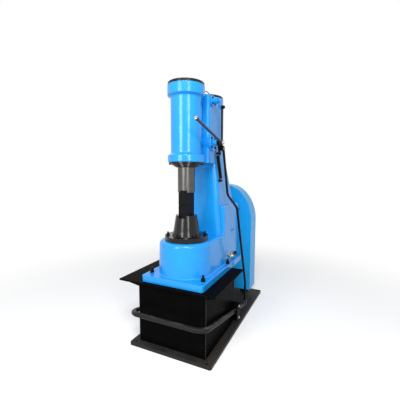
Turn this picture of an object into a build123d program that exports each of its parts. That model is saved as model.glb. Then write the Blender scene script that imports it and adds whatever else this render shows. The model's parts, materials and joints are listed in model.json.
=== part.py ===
from build123d import *
from math import atan, cos, degrees, radians, sin, tan
import os

# A small self-contained pneumatic forging hammer on a welded black stand, in millimetres.
# X runs across the machine, plus X is the side of the valves, the lever and the treadle rod.
# Y runs from the front, where the anvil is, to the belt guard at the rear. Z is up.
# The origin is the centre of the base plate's underside.

# Clearances that many pieces share
RUN_FIT = 0.05
PART_GAP = 0.3

# Base plate, long enough for the stand, the hammer and the guard
BASE_SIDE_MARGIN = 50.0
BASE_FRONT_MARGIN = 40.0
BASE_REAR_MARGIN = 15.0
BASE_THICK = 20.0
BASE_CORNER = 10.0
FLOOR_HOLE_R = 9.0
FLOOR_HOLE_SIDE = 34.0
FLOOR_HOLE_END = 22.0
MIDDLE_HOLE_END = 214.0
MIDDLE_HOLE_SIDE = 42.0

# Stand, a welded box with a sheet top that catches scale
STAND_WIDTH = 460.0
STAND_DEPTH = 480.0
STAND_HEIGHT = 384.0
STAND_WALL = 10.0
TRAY_THICK = 10.0
TRAY_LEFT = 135.0
TRAY_RIGHT = 66.0
TRAY_FRONT = 26.0
RIB_THICK = 8.0
RIB_DEPTH = 26.0
RIB_TIP = 3.0

# Ram
RAM_R = 54.0
RAM_TOP_ROOM = 30.0
KEY_CLEARANCE = 6.7
RAM_CHAMFER = 4.0
PISTON_STEP = 8.0
PISTON_HEIGHT = 40.0

# Casting, lower part. The distances ahead and behind are taken from the ram's axis
FLANGE_INSET = 19.0
FLANGE_FRONT_LIP = 21.0
FLANGE_OVERHANG = 2.0
FLANGE_BEHIND = 500.0
FLANGE_THICK = 40.0
FLANGE_CORNER = 18.0
FLANGE_EDGE = 5.0
FLANGE_LIP = 35.0
BODY_HEIGHT = 207.0
BODY_BEHIND = 475.0
BODY_DRAFT = 1.5
BODY_SHOULDER = 22.0
BODY_FOOT = 7.0

# Casting, column and crankcase
THROAT_DEPTH = 200.0
COLUMN_FOOT_INSET = 24.0
COLUMN_HEAD_PROUD = 6.0
COLUMN_HEAD_BEHIND = 345.0
COLUMN_BREAK = 6.0
COLUMN_EDGE = 30.0
HEAD_OVERLAP = 103.0
CRANKCASE_INSET = 26.0
CRANKCASE_BEHIND = 585.0
CRANKCASE_HEIGHT = 404.0
CRANKCASE_EDGE = 25.0
CHEEK_INSET = 6.0
CHEEK_SETBACK = 35.0
CHEEK_LENGTH = 137.0
CHEEK_EDGE = 8.0
CRANK_HEIGHT = 236.0

# Casting, the two cylinders and the valve chest between them
DAYLIGHT = 264.0
CYLINDER_LENGTH = 458.0
CYLINDER_R = 96.0
CYLINDER_SPACING = 315.0
COLLAR_R = 115.0
COLLAR_HEIGHT = 59.0
COLLAR_TAPER = 10.0
COLLAR_EDGE = 5.0
THROAT_BLEND = 30.0
FOOT_COLLAR_HEIGHT = 41.0
FOOT_COLLAR_TAPER = 14.0
REAR_CYLINDER_R = 100.0
REAR_COLLAR_R = 112.0
REAR_DROP = 7.0
REAR_COLLAR_HEIGHT = 52.0
CHEST_HALF = 105.0
CHEST_SETBACK = 103.0
CHEST_LENGTH = 172.0
CHEST_DROP = 20.0
CHEST_EDGE = 16.0
CAP_INSET = 2.0
FRONT_CAP_HEIGHT = 17.0
REAR_CAP_HEIGHT = 16.0
CAP_EDGE = 3.0
PLUG_R = 13.0
PLUG_HEIGHT = 15.0
PLUG_X = 12.0

# Gland under the front cylinder: three steps, each that much wider than the ram
GLAND_TOP_RIM = 56.0
GLAND_MIDDLE_RIM = 38.0
GLAND_FOOT_RIM = 24.0
GLAND_STEP = 9.0
WIPER_HEIGHT = 5.0
WIPER_WALL = 10.0

# Anvil, dies and keys
RING_R = 138.0
RING_HEIGHT = 29.0
CONE_FOOT_R = 92.0
CONE_WAIST_R = 83.0
CONE_WAIST_HEIGHT = 30.0
CONE_TOP_R = 67.0
CONE_HEIGHT = 129.0
DIE_WIDTH = 62.0
DIE_LENGTH = 96.0
LOWER_DIE_HEIGHT = 66.0
UPPER_DIE_HEIGHT = 74.0
DIE_EDGE = 3.0
ROOT_WIDTH = 36.0
ROOT_DEPTH = 16.0
KEY_WIDTH = 12.0
KEY_PROUD = 5.0
STUD_EDGE = 20.0
STUD_COUNT = 6
STUD_R = 6.0
STUD_HEIGHT = 22.0
NUT_R = 11.0
NUT_HEIGHT = 10.0
ANCHOR_SIDE = 31.0
ANCHOR_FRONT = 70.0
ANCHOR_REAR = 46.0
ANCHOR_ROOM = 2.0
ANCHOR_R = 6.5
ANCHOR_HEIGHT = 36.0
ANCHOR_NUT_R = 12.0
ANCHOR_NUT_HEIGHT = 13.0

# Rotary valves on the right side of the chest
VALVE_SETBACK = 42.0
LOWER_VALVE_RISE = 131.0
UPPER_VALVE_DROP = 35.0
PAD_HEIGHT = 4.0
LOWER_COVER_R = 52.0
UPPER_COVER_R = 34.0
COVER_THICK = 13.0
NOSE_R = 19.0
SHAFT_R = 9.0
CRANK_GAP = 4.0
CRANK_THICK = 8.0
LINK_THICK = 7.0
LINK_WIDTH = 24.0
LINK_GAP = 1.5
ROD_EYE_THICK = 10.0
HUB_R = 17.0
CRANK_ARM = 52.0
CRANK_ANGLE = -43.0
SPRING_ARM = 71.0
SPRING_ANGLE = -68.0
PIN_R = 6.0
EYE_R = 13.0
EYE_SLACK = 5.0

# Hand lever
LEVER_LENGTH = 378.0
LEVER_RISE = 13.4
LEVER_R = 8.0
LEVER_HUB_R = 18.0
LEVER_GRIP_R = 10.0
LEVER_GRIP_LENGTH = 26.0

# Return spring and its anchor on the column
SPRING_R = 10.0
SPRING_HOOK_R = 3.0
SPRING_END = 16.0
SPRING_GAP = 2.0
ANCHOR_PIN_SETBACK = 37.0
ANCHOR_PIN_DROP = 246.0
ANCHOR_PIN_R = 5.0
ANCHOR_BOSS_R = 13.0
ANCHOR_BOSS_LENGTH = 3.55

# Treadle: a tube bent round the stand, on a pivot at each side
TREADLE_R = 15.0
TREADLE_WALL = 3.2
TREADLE_GAP = 7.0
TREADLE_REACH = 68.6
TREADLE_REAR = 205.0
TREADLE_LEFT_TAIL = 45.0
TREADLE_BEND = 62.0
TREADLE_SLOPE = 12.4
PIVOT_SETBACK = 30.0
PIVOT_RISE = 98.0
PIVOT_PIN_R = 8.0
BRACKET_AHEAD = 42.0
BRACKET_HEIGHT = 100.0
BRACKET_LEG = 14.0
BRACKET_PLATE = 8.0
BRACKET_GAP = 5.0
TAB_THICK = 9.0
TAB_LENGTH = 62.0
TAB_HEIGHT = 26.0

# Treadle rod, from the treadle's tail up to the lower crank. Each bend is that far
# behind and above the tail pin, the stand's top rear edge, or the lower valve
ROD_R = 8.0
ROD_CHEEK = 6.0
ROD_CHEEK_GAP = 2.0
ROD_FORK_HEIGHT = 40.0
ROD_LOW_RISE = 178.0
ROD_MIDDLE_BEHIND = 116.0
ROD_MIDDLE_RISE = 66.0
ROD_ELBOW_BEHIND = 110.0
ROD_ELBOW_DROP = 428.0
ROD_SHOULDER_BEHIND = 122.0
ROD_SHOULDER_DROP = 344.0
ROD_BEND = 45.0

# Belt guard, crankshaft and motor
GUARD_X = -30.0
GUARD_HALF = 250.0
GUARD_ARCH = 314.0
GUARD_ARCH_DROP = 10.0
GUARD_RISE = 56.0
GUARD_GAP = 150.0
GUARD_DEPTH = 155.0
GUARD_SHEET = 4.0
SHAFT_COVER_R = 105.0
SHAFT_COVER_THICK = 16.0
BEARING_R = 62.0
BEARING_LENGTH = 70.0
CRANKSHAFT_R = 26.0
CRANKSHAFT_END = 60.0
SHAFT_HOLE_GAP = 10.0
MOTOR_X = -60.0
MOTOR_R = 92.0
MOTOR_GAP = 59.0
MOTOR_LENGTH = 250.0
MOTOR_BELL_R = 96.0
MOTOR_BELL = 26.0
MOTOR_COWL = 45.0
MOTOR_SHAFT_R = 14.0
MOTOR_SHAFT_END = 45.0
MOTOR_RISE = 8.0
RAIL_WIDTH = 40.0
RAIL_HEIGHT = 38.0
RAIL_SPREAD = 75.0
TERMINAL_LENGTH = 90.0
TERMINAL_WIDTH = 50.0
TERMINAL_HEIGHT = 84.0
GUARD_FOOT_THICK = 6.0
GUARD_FOOT_WIDTH = 60.0
GUARD_FOOT_X = 170.0
STAY_WIDTH = 40.0
STAY_THICK = 8.0
STAY_INSET = 25.0
STAY_DROP = 58.0

# Drain cock and oil plug on the right side of the lower casting
COCK_AHEAD = 160.0
COCK_RISE = 38.0
COCK_R = 9.0
COCK_BODY = 26.0
COCK_HEX_R = 12.0
COCK_HEX = 8.0
COCK_SPOUT_R = 4.0
COCK_SPOUT = 42.0
COCK_STEM_R = 4.0
COCK_STEM = 14.0
COCK_HANDLE = 34.0
COCK_HANDLE_THICK = 4.0
COCK_HANDLE_WIDTH = 9.0
OIL_PLUG_AHEAD = 35.0
OIL_PLUG_RISE = 26.0
OIL_PLUG_R = 14.0
OIL_PLUG_LENGTH = 16.0

# Widths and radii that follow from the sizes above
BASE_WIDTH = STAND_WIDTH + 2 * BASE_SIDE_MARGIN
STAND_HALF = STAND_WIDTH / 2
FLANGE_HALF = STAND_HALF - FLANGE_INSET
BODY_R = FLANGE_HALF - FLANGE_LIP
COLUMN_FOOT_HALF = BODY_R - COLUMN_FOOT_INSET
COLUMN_HEAD_HALF = CHEST_HALF + COLUMN_HEAD_PROUD
CRANKCASE_HALF = BODY_R - CRANKCASE_INSET
CHEEK_HALF = BODY_R - CHEEK_INSET
PISTON_R = RAM_R + PISTON_STEP
TREADLE_X = STAND_HALF + TREADLE_GAP + TREADLE_R

# Places along Y that follow
RAM_SETBACK = BODY_R + FLANGE_FRONT_LIP - FLANGE_OVERHANG
BASE_LENGTH = (BASE_FRONT_MARGIN + RAM_SETBACK + CRANKCASE_BEHIND + GUARD_GAP + GUARD_DEPTH
               + BASE_REAR_MARGIN)
STAND_FRONT = -BASE_LENGTH / 2 + BASE_FRONT_MARGIN
STAND_REAR = STAND_FRONT + STAND_DEPTH
RAM_Y = STAND_FRONT + RAM_SETBACK
FLANGE_FRONT = STAND_FRONT - FLANGE_OVERHANG
FLANGE_REAR = RAM_Y + FLANGE_BEHIND
BODY_REAR = RAM_Y + BODY_BEHIND
THROAT_Y = RAM_Y + THROAT_DEPTH
COLUMN_REAR_HEAD = RAM_Y + COLUMN_HEAD_BEHIND
CRANKCASE_REAR = RAM_Y + CRANKCASE_BEHIND
CHEEK_FRONT = THROAT_Y + CHEEK_SETBACK
CHEEK_REAR = CHEEK_FRONT + CHEEK_LENGTH
REAR_CYLINDER_Y = RAM_Y + CYLINDER_SPACING
CHEST_FRONT = RAM_Y + CHEST_SETBACK
VALVE_Y = CHEST_FRONT + VALVE_SETBACK
ANCHOR_PIN_Y = THROAT_Y + ANCHOR_PIN_SETBACK
PIVOT_Y = STAND_REAR - PIVOT_SETBACK
GUARD_FRONT = CRANKCASE_REAR + GUARD_GAP
GUARD_REAR = GUARD_FRONT + GUARD_DEPTH
MOTOR_COWL_REAR = GUARD_FRONT - MOTOR_GAP - MOTOR_BELL - MOTOR_LENGTH
COCK_Y = BODY_REAR - COCK_AHEAD
OIL_PLUG_Y = BODY_REAR - OIL_PLUG_AHEAD

# Heights that follow
BASE_TOP = BASE_THICK
STAND_TOP = BASE_TOP + STAND_HEIGHT
TRAY_TOP = STAND_TOP + TRAY_THICK
FLANGE_TOP = TRAY_TOP + FLANGE_THICK
BODY_TOP = FLANGE_TOP + BODY_HEIGHT
COLUMN_LOW = BODY_TOP - BODY_SHOULDER
CRANKCASE_TOP = FLANGE_TOP + CRANKCASE_HEIGHT
CRANK_Z = FLANGE_TOP + CRANK_HEIGHT
RING_TOP = BODY_TOP + RING_HEIGHT
CONE_TOP = RING_TOP + CONE_HEIGHT
DIE_FACE = CONE_TOP + LOWER_DIE_HEIGHT
RAM_FOOT = DIE_FACE + PART_GAP + UPPER_DIE_HEIGHT
CYLINDER_FOOT = DIE_FACE + DAYLIGHT
CYLINDER_TOP = CYLINDER_FOOT + CYLINDER_LENGTH
REAR_TOP = CYLINDER_TOP - REAR_DROP
HEAD_HEIGHT = CYLINDER_FOOT + HEAD_OVERLAP
CHEST_TOP = REAR_TOP - CHEST_DROP
GLAND_RIMS = (GLAND_TOP_RIM, GLAND_MIDDLE_RIM, GLAND_FOOT_RIM)
GLAND_FOOT = CYLINDER_FOOT - GLAND_STEP * len(GLAND_RIMS)
WIPER_FOOT = GLAND_FOOT - WIPER_HEIGHT
RAM_STROKE = WIPER_FOOT - KEY_CLEARANCE - ROOT_DEPTH - RAM_FOOT
PISTON_FOOT = CYLINDER_TOP - RAM_TOP_ROOM - RAM_STROKE - PISTON_HEIGHT
RAM_TOP = PISTON_FOOT + PISTON_HEIGHT
LOWER_VALVE_Z = CYLINDER_FOOT + LOWER_VALVE_RISE
UPPER_VALVE_Z = CHEST_TOP - UPPER_VALVE_DROP
ANCHOR_PIN_Z = LOWER_VALVE_Z - ANCHOR_PIN_DROP
PIVOT_Z = BASE_TOP + PIVOT_RISE
MOTOR_Z = BASE_TOP + RAIL_HEIGHT + MOTOR_RISE + MOTOR_BELL_R
GUARD_BOTTOM = BASE_TOP + GUARD_RISE
GUARD_SPRING_LINE = CRANK_Z - GUARD_ARCH_DROP
STAY_Z = CRANKCASE_TOP - STAY_DROP
COCK_Z = FLANGE_TOP + COCK_RISE
OIL_PLUG_Z = FLANGE_TOP + OIL_PLUG_RISE


def column_half(z):
    """Half of the column's width at a height."""
    share = (z - COLUMN_LOW) / (HEAD_HEIGHT - COLUMN_LOW)
    return COLUMN_FOOT_HALF + (COLUMN_HEAD_HALF - COLUMN_FOOT_HALF) * share


# The valve gear stands out from the column in this order: boss, spring, crank, link, rod eye
ANCHOR_FOOT_X = column_half(ANCHOR_PIN_Z - ANCHOR_BOSS_R)
SPRING_X = ANCHOR_FOOT_X + ANCHOR_BOSS_LENGTH + SPRING_R
CRANK_X = SPRING_X + SPRING_R + SPRING_GAP
LINK_X = CRANK_X + CRANK_THICK + LINK_GAP
ROD_EYE_X = LINK_X + LINK_THICK + LINK_GAP
COVER_FACE = CHEST_HALF + PAD_HEIGHT
NOSE_END = CRANK_X - CRANK_GAP
PIN_DROP_Y = CRANK_ARM * cos(radians(CRANK_ANGLE))
PIN_DROP_Z = CRANK_ARM * sin(radians(CRANK_ANGLE))
SPRING_PIN_Y = VALVE_Y + SPRING_ARM * cos(radians(SPRING_ANGLE))
SPRING_PIN_Z = LOWER_VALVE_Z + SPRING_ARM * sin(radians(SPRING_ANGLE))
TAIL_Y = PIVOT_Y + (TREADLE_REAR + TAB_LENGTH / 2) * cos(radians(TREADLE_SLOPE))
TAIL_Z = PIVOT_Z - (TREADLE_REAR + TAB_LENGTH / 2) * sin(radians(TREADLE_SLOPE))


def block(x, y, z):
    """A box between the low and high values of x, y and z."""
    size = (x[1] - x[0], y[1] - y[0], z[1] - z[0])
    return Pos(x[0], y[0], z[0]) * Box(*size, align=(Align.MIN, Align.MIN, Align.MIN))


def upright(radius, x, y, z):
    """A round bar along Z between the two values of z."""
    bar = Cylinder(radius, z[1] - z[0], align=(Align.CENTER, Align.CENTER, Align.MIN))
    return Pos(x, y, z[0]) * bar


def crosswise(radius, x, y, z):
    """A round bar along X between the two values of x."""
    bar = Cylinder(radius, x[1] - x[0], align=(Align.CENTER, Align.CENTER, Align.MIN))
    return Pos(x[0], y, z) * Rot(0, 90, 0) * bar


def lengthwise(radius, x, y, z):
    """A round bar along Y between the two values of y."""
    bar = Cylinder(radius, y[1] - y[0], align=(Align.CENTER, Align.CENTER, Align.MIN))
    return Pos(x, y[0], z) * Rot(-90, 0, 0) * bar


def hexagon(radius, x, y, z):
    """A hexagonal nut or head standing along Z."""
    outline = RegularPolygon(radius, 6)
    return extrude(Plane.XY.offset(z[0]) * Pos(x, y) * outline, z[1] - z[0])


def turned(profile, x, y):
    """A solid of revolution about a vertical axis, from (radius, height) points."""
    face = make_face(Plane.XZ * Polyline(*profile, close=True))
    return Pos(x, y, 0) * revolve(face, Axis.Z)


def across(points, x):
    """An outline of (y, z) points, as thick as the two values of x."""
    face = make_face(Plane.YZ * Polyline(*points, close=True))
    return Pos(x[0], 0, 0) * extrude(face, x[1] - x[0], dir=(1, 0, 0))


def along(points, y):
    """An outline of (x, z) points, as deep as the two values of y."""
    face = make_face(Plane.XZ * Polyline(*points, close=True))
    return Pos(0, y[0], 0) * extrude(face, y[1] - y[0], dir=(0, 1, 0))


def base_plate():
    half, end = BASE_WIDTH / 2, BASE_LENGTH / 2
    plate = block((-half, half), (-end, end), (0, BASE_TOP))
    plate = fillet(plate.edges().filter_by(Axis.Z), BASE_CORNER)
    side = half - FLOOR_HOLE_SIDE
    for x in (-side, side):
        for y in (-end + FLOOR_HOLE_END, end - FLOOR_HOLE_END):
            plate -= upright(FLOOR_HOLE_R, x, y, (0, BASE_TOP))
    for x in (-half + MIDDLE_HOLE_SIDE, half - MIDDLE_HOLE_SIDE):
        plate -= upright(FLOOR_HOLE_R, x, end - MIDDLE_HOLE_END, (0, BASE_TOP))
    return plate


def stand_walls():
    inner = (STAND_FRONT + STAND_WALL, STAND_REAR - STAND_WALL)
    height = (BASE_TOP, STAND_TOP)
    whole = (-STAND_HALF, STAND_HALF)
    return {
        "stand_front_wall": block(whole, (STAND_FRONT, inner[0]), height),
        "stand_rear_wall": block(whole, (inner[1], STAND_REAR), height),
        "stand_left_wall": block((-STAND_HALF, -STAND_HALF + STAND_WALL), inner, height),
        "stand_right_wall": block((STAND_HALF - STAND_WALL, STAND_HALF), inner, height),
    }


def chip_tray():
    width = (-STAND_HALF - TRAY_LEFT, STAND_HALF + TRAY_RIGHT)
    return block(width, (STAND_FRONT - TRAY_FRONT, STAND_REAR), (STAND_TOP, TRAY_TOP))


def tray_ribs():
    """Tapered ribs that carry the sheet where it hangs past the stand's sides."""
    ribs = []
    for side, reach in ((-1, TRAY_LEFT), (1, TRAY_RIGHT)):
        root, tip = side * STAND_HALF, side * (STAND_HALF + reach)
        outline = [
            (root, STAND_TOP),
            (tip, STAND_TOP),
            (tip, STAND_TOP - RIB_TIP),
            (root, STAND_TOP - RIB_DEPTH),
        ]
        for y in (STAND_FRONT, STAND_REAR - RIB_THICK):
            ribs.append(along(outline, (y, y + RIB_THICK)))
    return Compound(ribs)


def casting_foot():
    """The bolting flange and the round-fronted body that carries the anvil and the column."""
    flange = block((-FLANGE_HALF, FLANGE_HALF), (FLANGE_FRONT, FLANGE_REAR), (TRAY_TOP, FLANGE_TOP))
    flange = fillet(flange.edges().filter_by(Axis.Z), FLANGE_CORNER)
    flange = fillet(flange.edges().group_by(Axis.Z)[-1], FLANGE_EDGE)
    shoulder = BODY_R - BODY_HEIGHT * tan(radians(BODY_DRAFT))
    rear_half = [
        (-BODY_R, FLANGE_TOP),
        (-shoulder, BODY_TOP),
        (shoulder, BODY_TOP),
        (BODY_R, FLANGE_TOP),
    ]
    front_half = [(0, FLANGE_TOP), (BODY_R, FLANGE_TOP), (shoulder, BODY_TOP), (0, BODY_TOP)]
    body = along(rear_half, (RAM_Y, BODY_REAR)) + turned(front_half, 0, RAM_Y)
    body = fillet(body.edges().group_by(Axis.Z)[-1], BODY_SHOULDER)
    foot = flange + body
    joint = foot.edges().filter_by_position(Axis.Z, FLANGE_TOP - RUN_FIT, FLANGE_TOP + RUN_FIT)
    reach = BODY_R + PART_GAP
    inner = [edge for edge in joint if edge.bounding_box().max.Y < BODY_REAR + PART_GAP
             and edge.bounding_box().max.X < reach and edge.bounding_box().min.X > -reach]
    return fillet(inner, BODY_FOOT)


def casting_column():
    """The tapering column, with the crankcase and its two cheeks behind the throat."""
    profile = [
        (THROAT_Y, COLUMN_LOW),
        (THROAT_Y, HEAD_HEIGHT),
        (COLUMN_REAR_HEAD, HEAD_HEIGHT),
        (FLANGE_REAR, CRANKCASE_TOP - COLUMN_BREAK),
        (FLANGE_REAR, COLUMN_LOW),
    ]
    front = [
        (-COLUMN_FOOT_HALF, COLUMN_LOW),
        (-COLUMN_HEAD_HALF, HEAD_HEIGHT),
        (COLUMN_HEAD_HALF, HEAD_HEIGHT),
        (COLUMN_FOOT_HALF, COLUMN_LOW),
    ]
    column = across(profile, (-BODY_R, BODY_R)) & along(front, (THROAT_Y, FLANGE_REAR))
    edges = [edge for edge in column.edges() if edge.bounding_box().max.Y < THROAT_Y + PART_GAP
             and edge.bounding_box().size.Z > COLUMN_EDGE]
    column = fillet(edges, COLUMN_EDGE)
    cheeks = block((-CHEEK_HALF, CHEEK_HALF), (CHEEK_FRONT, CHEEK_REAR), (COLUMN_LOW, CRANKCASE_TOP))
    cheeks = fillet(cheeks.edges().filter_by(Axis.Z) + cheeks.edges().group_by(Axis.Z)[-1], CHEEK_EDGE)
    half = (-CRANKCASE_HALF, CRANKCASE_HALF)
    case = block(half, (CHEEK_REAR - CRANKCASE_EDGE, CRANKCASE_REAR), (FLANGE_TOP, CRANKCASE_TOP))
    case = fillet(case.edges().group_by(Axis.Z)[-1].filter_by(Axis.Y), CRANKCASE_EDGE)
    return column + cheeks + case


def rounded_rims(cylinder):
    """Rounds the collars' edges, and the top one only as far as the cap leaves bare."""
    rims = cylinder.edges().filter_by(GeomType.CIRCLE).sort_by(Axis.Z)
    cylinder = fillet(rims[:-1], COLLAR_EDGE)
    return fillet(cylinder.edges().filter_by(GeomType.CIRCLE).sort_by(Axis.Z)[-1], CAP_INSET)


def throat_blend():
    """The hollow curve under the head, where it meets the column's front face."""
    width = COLUMN_HEAD_HALF - COLUMN_EDGE
    corner = block((-width, width), (THROAT_Y - THROAT_BLEND, THROAT_Y + THROAT_BLEND),
                   (CYLINDER_FOOT - THROAT_BLEND, CYLINDER_FOOT + THROAT_BLEND))
    return corner - crosswise(THROAT_BLEND, (-width, width), THROAT_Y - THROAT_BLEND, CYLINDER_FOOT - THROAT_BLEND)


def casting_head():
    """Both cylinders, standing on the column, with the valve chest that joins them."""
    front = turned([
        (0, CYLINDER_FOOT),
        (COLLAR_R, CYLINDER_FOOT),
        (COLLAR_R, CYLINDER_FOOT + FOOT_COLLAR_HEIGHT),
        (CYLINDER_R, CYLINDER_FOOT + FOOT_COLLAR_HEIGHT + FOOT_COLLAR_TAPER),
        (CYLINDER_R, CYLINDER_TOP - COLLAR_HEIGHT - COLLAR_TAPER),
        (COLLAR_R, CYLINDER_TOP - COLLAR_HEIGHT),
        (COLLAR_R, CYLINDER_TOP),
        (0, CYLINDER_TOP),
    ], 0, RAM_Y)
    front = rounded_rims(front)
    rear = turned([
        (0, CRANKCASE_TOP - COLLAR_EDGE),
        (REAR_CYLINDER_R, CRANKCASE_TOP - COLLAR_EDGE),
        (REAR_CYLINDER_R, REAR_TOP - REAR_COLLAR_HEIGHT - COLLAR_TAPER),
        (REAR_COLLAR_R, REAR_TOP - REAR_COLLAR_HEIGHT),
        (REAR_COLLAR_R, REAR_TOP),
        (0, REAR_TOP),
    ], 0, REAR_CYLINDER_Y)
    rear = rounded_rims(rear)
    depth = (CHEST_FRONT, CHEST_FRONT + CHEST_LENGTH)
    chest = block((-CHEST_HALF, CHEST_HALF), depth, (CYLINDER_FOOT, CHEST_TOP))
    chest = fillet(chest.edges().filter_by(Axis.Z), CHEST_EDGE)
    head = front + rear + chest
    head += block((-COLUMN_HEAD_HALF / 2, COLUMN_HEAD_HALF / 2), (RAM_Y, THROAT_Y + COLUMN_EDGE),
                  (CYLINDER_FOOT, CYLINDER_FOOT + FOOT_COLLAR_HEIGHT))
    head += throat_blend()
    for radius, z in ((LOWER_COVER_R, LOWER_VALVE_Z), (UPPER_COVER_R, UPPER_VALVE_Z)):
        head += crosswise(radius, (0, COVER_FACE), VALVE_Y, z)
    return head


def frame_casting():
    """The one big casting, bored for the ram, the valve shafts and the crankshaft."""
    casting = casting_foot() + casting_column() + casting_head()
    casting -= upright(PISTON_R + RUN_FIT, 0, RAM_Y, (CYLINDER_FOOT, CYLINDER_TOP))
    for z in (LOWER_VALVE_Z, UPPER_VALVE_Z):
        casting -= crosswise(SHAFT_R + RUN_FIT, (CHEST_HALF / 2, COVER_FACE), VALVE_Y, z)
    bore = (CRANKCASE_REAR - CRANKSHAFT_END, CRANKCASE_REAR)
    casting -= lengthwise(CRANKSHAFT_R + RUN_FIT, 0, bore, CRANK_Z)
    return casting


def front_cylinder_cap():
    cap = upright(COLLAR_R - CAP_INSET, 0, RAM_Y, (CYLINDER_TOP, CYLINDER_TOP + FRONT_CAP_HEIGHT))
    return fillet(cap.edges().group_by(Axis.Z)[-1], CAP_EDGE)


def front_cap_plug():
    low = CYLINDER_TOP + FRONT_CAP_HEIGHT
    return hexagon(PLUG_R, PLUG_X, RAM_Y, (low, low + PLUG_HEIGHT))


def rear_cylinder_cap():
    cap = upright(REAR_COLLAR_R - CAP_INSET, 0, REAR_CYLINDER_Y, (REAR_TOP, REAR_TOP + REAR_CAP_HEIGHT))
    return fillet(cap.edges().group_by(Axis.Z)[-1], CAP_EDGE)


def ram_gland():
    gland = Part()
    for step, rim in enumerate(GLAND_RIMS):
        high = CYLINDER_FOOT - step * GLAND_STEP
        gland += upright(RAM_R + rim, 0, RAM_Y, (high - GLAND_STEP, high))
    return gland - upright(RAM_R + RUN_FIT, 0, RAM_Y, (GLAND_FOOT, CYLINDER_FOOT))


def gland_wiper():
    height = (WIPER_FOOT, GLAND_FOOT)
    ring = upright(RAM_R + WIPER_WALL, 0, RAM_Y, height)
    return ring - upright(RAM_R + RUN_FIT, 0, RAM_Y, height)


def keyway(z):
    """The slot that holds a die's root and its key, cut through along Y."""
    width = ROOT_WIDTH + KEY_WIDTH
    return block((-ROOT_WIDTH / 2, width - ROOT_WIDTH / 2), (RAM_Y - RING_R, RAM_Y + RING_R), z)


def ram():
    rod = upright(RAM_R, 0, RAM_Y, (RAM_FOOT, RAM_TOP))
    rod = chamfer(rod.edges().group_by(Axis.Z)[0], RAM_CHAMFER)
    rod += upright(PISTON_R, 0, RAM_Y, (PISTON_FOOT, RAM_TOP))
    return rod - keyway((RAM_FOOT, RAM_FOOT + ROOT_DEPTH))


def die(face, back):
    """A die block between its working face and its back, with a root past the back."""
    low, high = min(face, back), max(face, back)
    half = DIE_WIDTH / 2
    ends = (RAM_Y - DIE_LENGTH / 2, RAM_Y + DIE_LENGTH / 2)
    body = block((-half, half), ends, (low, high))
    working = body.edges().group_by(Axis.Z)[0 if face < back else -1]
    body = fillet(body.edges().filter_by(Axis.Z) + working, DIE_EDGE)
    root = back + ROOT_DEPTH if back > face else back - ROOT_DEPTH
    return body + block((-ROOT_WIDTH / 2, ROOT_WIDTH / 2), ends, (min(back, root), max(back, root)))


def die_key(back, root):
    """A flat key driven in beside a die's root, a little proud at the front."""
    ends = (RAM_Y - DIE_LENGTH / 2 - KEY_PROUD, RAM_Y + DIE_LENGTH / 2)
    return block((ROOT_WIDTH / 2, ROOT_WIDTH / 2 + KEY_WIDTH), ends, (min(back, root), max(back, root)))


def anvil_block():
    waist = RING_TOP + CONE_WAIST_HEIGHT
    cone = turned([
        (0, BODY_TOP),
        (RING_R, BODY_TOP),
        (RING_R, RING_TOP),
        (CONE_FOOT_R, RING_TOP),
        (CONE_WAIST_R, waist),
        (CONE_TOP_R, CONE_TOP),
        (0, CONE_TOP),
    ], 0, RAM_Y)
    return cone - keyway((CONE_TOP - ROOT_DEPTH, CONE_TOP))


def anvil_studs():
    studs = []
    circle = RING_R - STUD_EDGE
    for count in range(STUD_COUNT):
        angle = radians(360 / STUD_COUNT * (count + 0.5))
        x, y = circle * cos(angle), RAM_Y + circle * sin(angle)
        nut = hexagon(NUT_R, x, y, (RING_TOP, RING_TOP + NUT_HEIGHT))
        studs.append(nut + upright(STUD_R, x, y, (RING_TOP, RING_TOP + STUD_HEIGHT)))
    return Compound(studs)


def frame_anchor_nuts():
    nuts = []
    beside = BODY_R + BODY_FOOT + ANCHOR_ROOM + ANCHOR_NUT_R
    front = (FLANGE_HALF - ANCHOR_SIDE, FLANGE_FRONT + ANCHOR_FRONT)
    for side, y in (front, (beside, STAND_REAR - ANCHOR_REAR)):
        for x in (-side, side):
            nut = hexagon(ANCHOR_NUT_R, x, y, (FLANGE_TOP, FLANGE_TOP + ANCHOR_NUT_HEIGHT))
            nuts.append(nut + upright(ANCHOR_R, x, y, (FLANGE_TOP, FLANGE_TOP + ANCHOR_HEIGHT)))
    return Compound(nuts)


def valve_cover(radius, z):
    cover = crosswise(radius, (COVER_FACE, COVER_FACE + COVER_THICK), VALVE_Y, z)
    cover = fillet(cover.edges().group_by(Axis.X)[-1], CAP_EDGE)
    cover += crosswise(NOSE_R, (COVER_FACE + COVER_THICK, NOSE_END), VALVE_Y, z)
    return cover - crosswise(SHAFT_R + RUN_FIT, (COVER_FACE, NOSE_END), VALVE_Y, z)


def crank(z, arms):
    """A hub on its valve shaft, with an eye at the end of each (length, angle) arm."""
    height = (CRANK_X, CRANK_X + CRANK_THICK)
    shape = crosswise(HUB_R, height, VALVE_Y, z)
    for length, angle in arms:
        eye = (VALVE_Y + length * cos(radians(angle)), z + length * sin(radians(angle)))
        across_y, across_z = EYE_R * sin(radians(angle)), EYE_R * cos(radians(angle))
        shape += across([
            (VALVE_Y - across_y, z + across_z),
            (eye[0] - across_y, eye[1] + across_z),
            (eye[0] + across_y, eye[1] - across_z),
            (VALVE_Y + across_y, z - across_z),
        ], height)
        shape += crosswise(EYE_R, height, *eye)
    return shape


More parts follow.
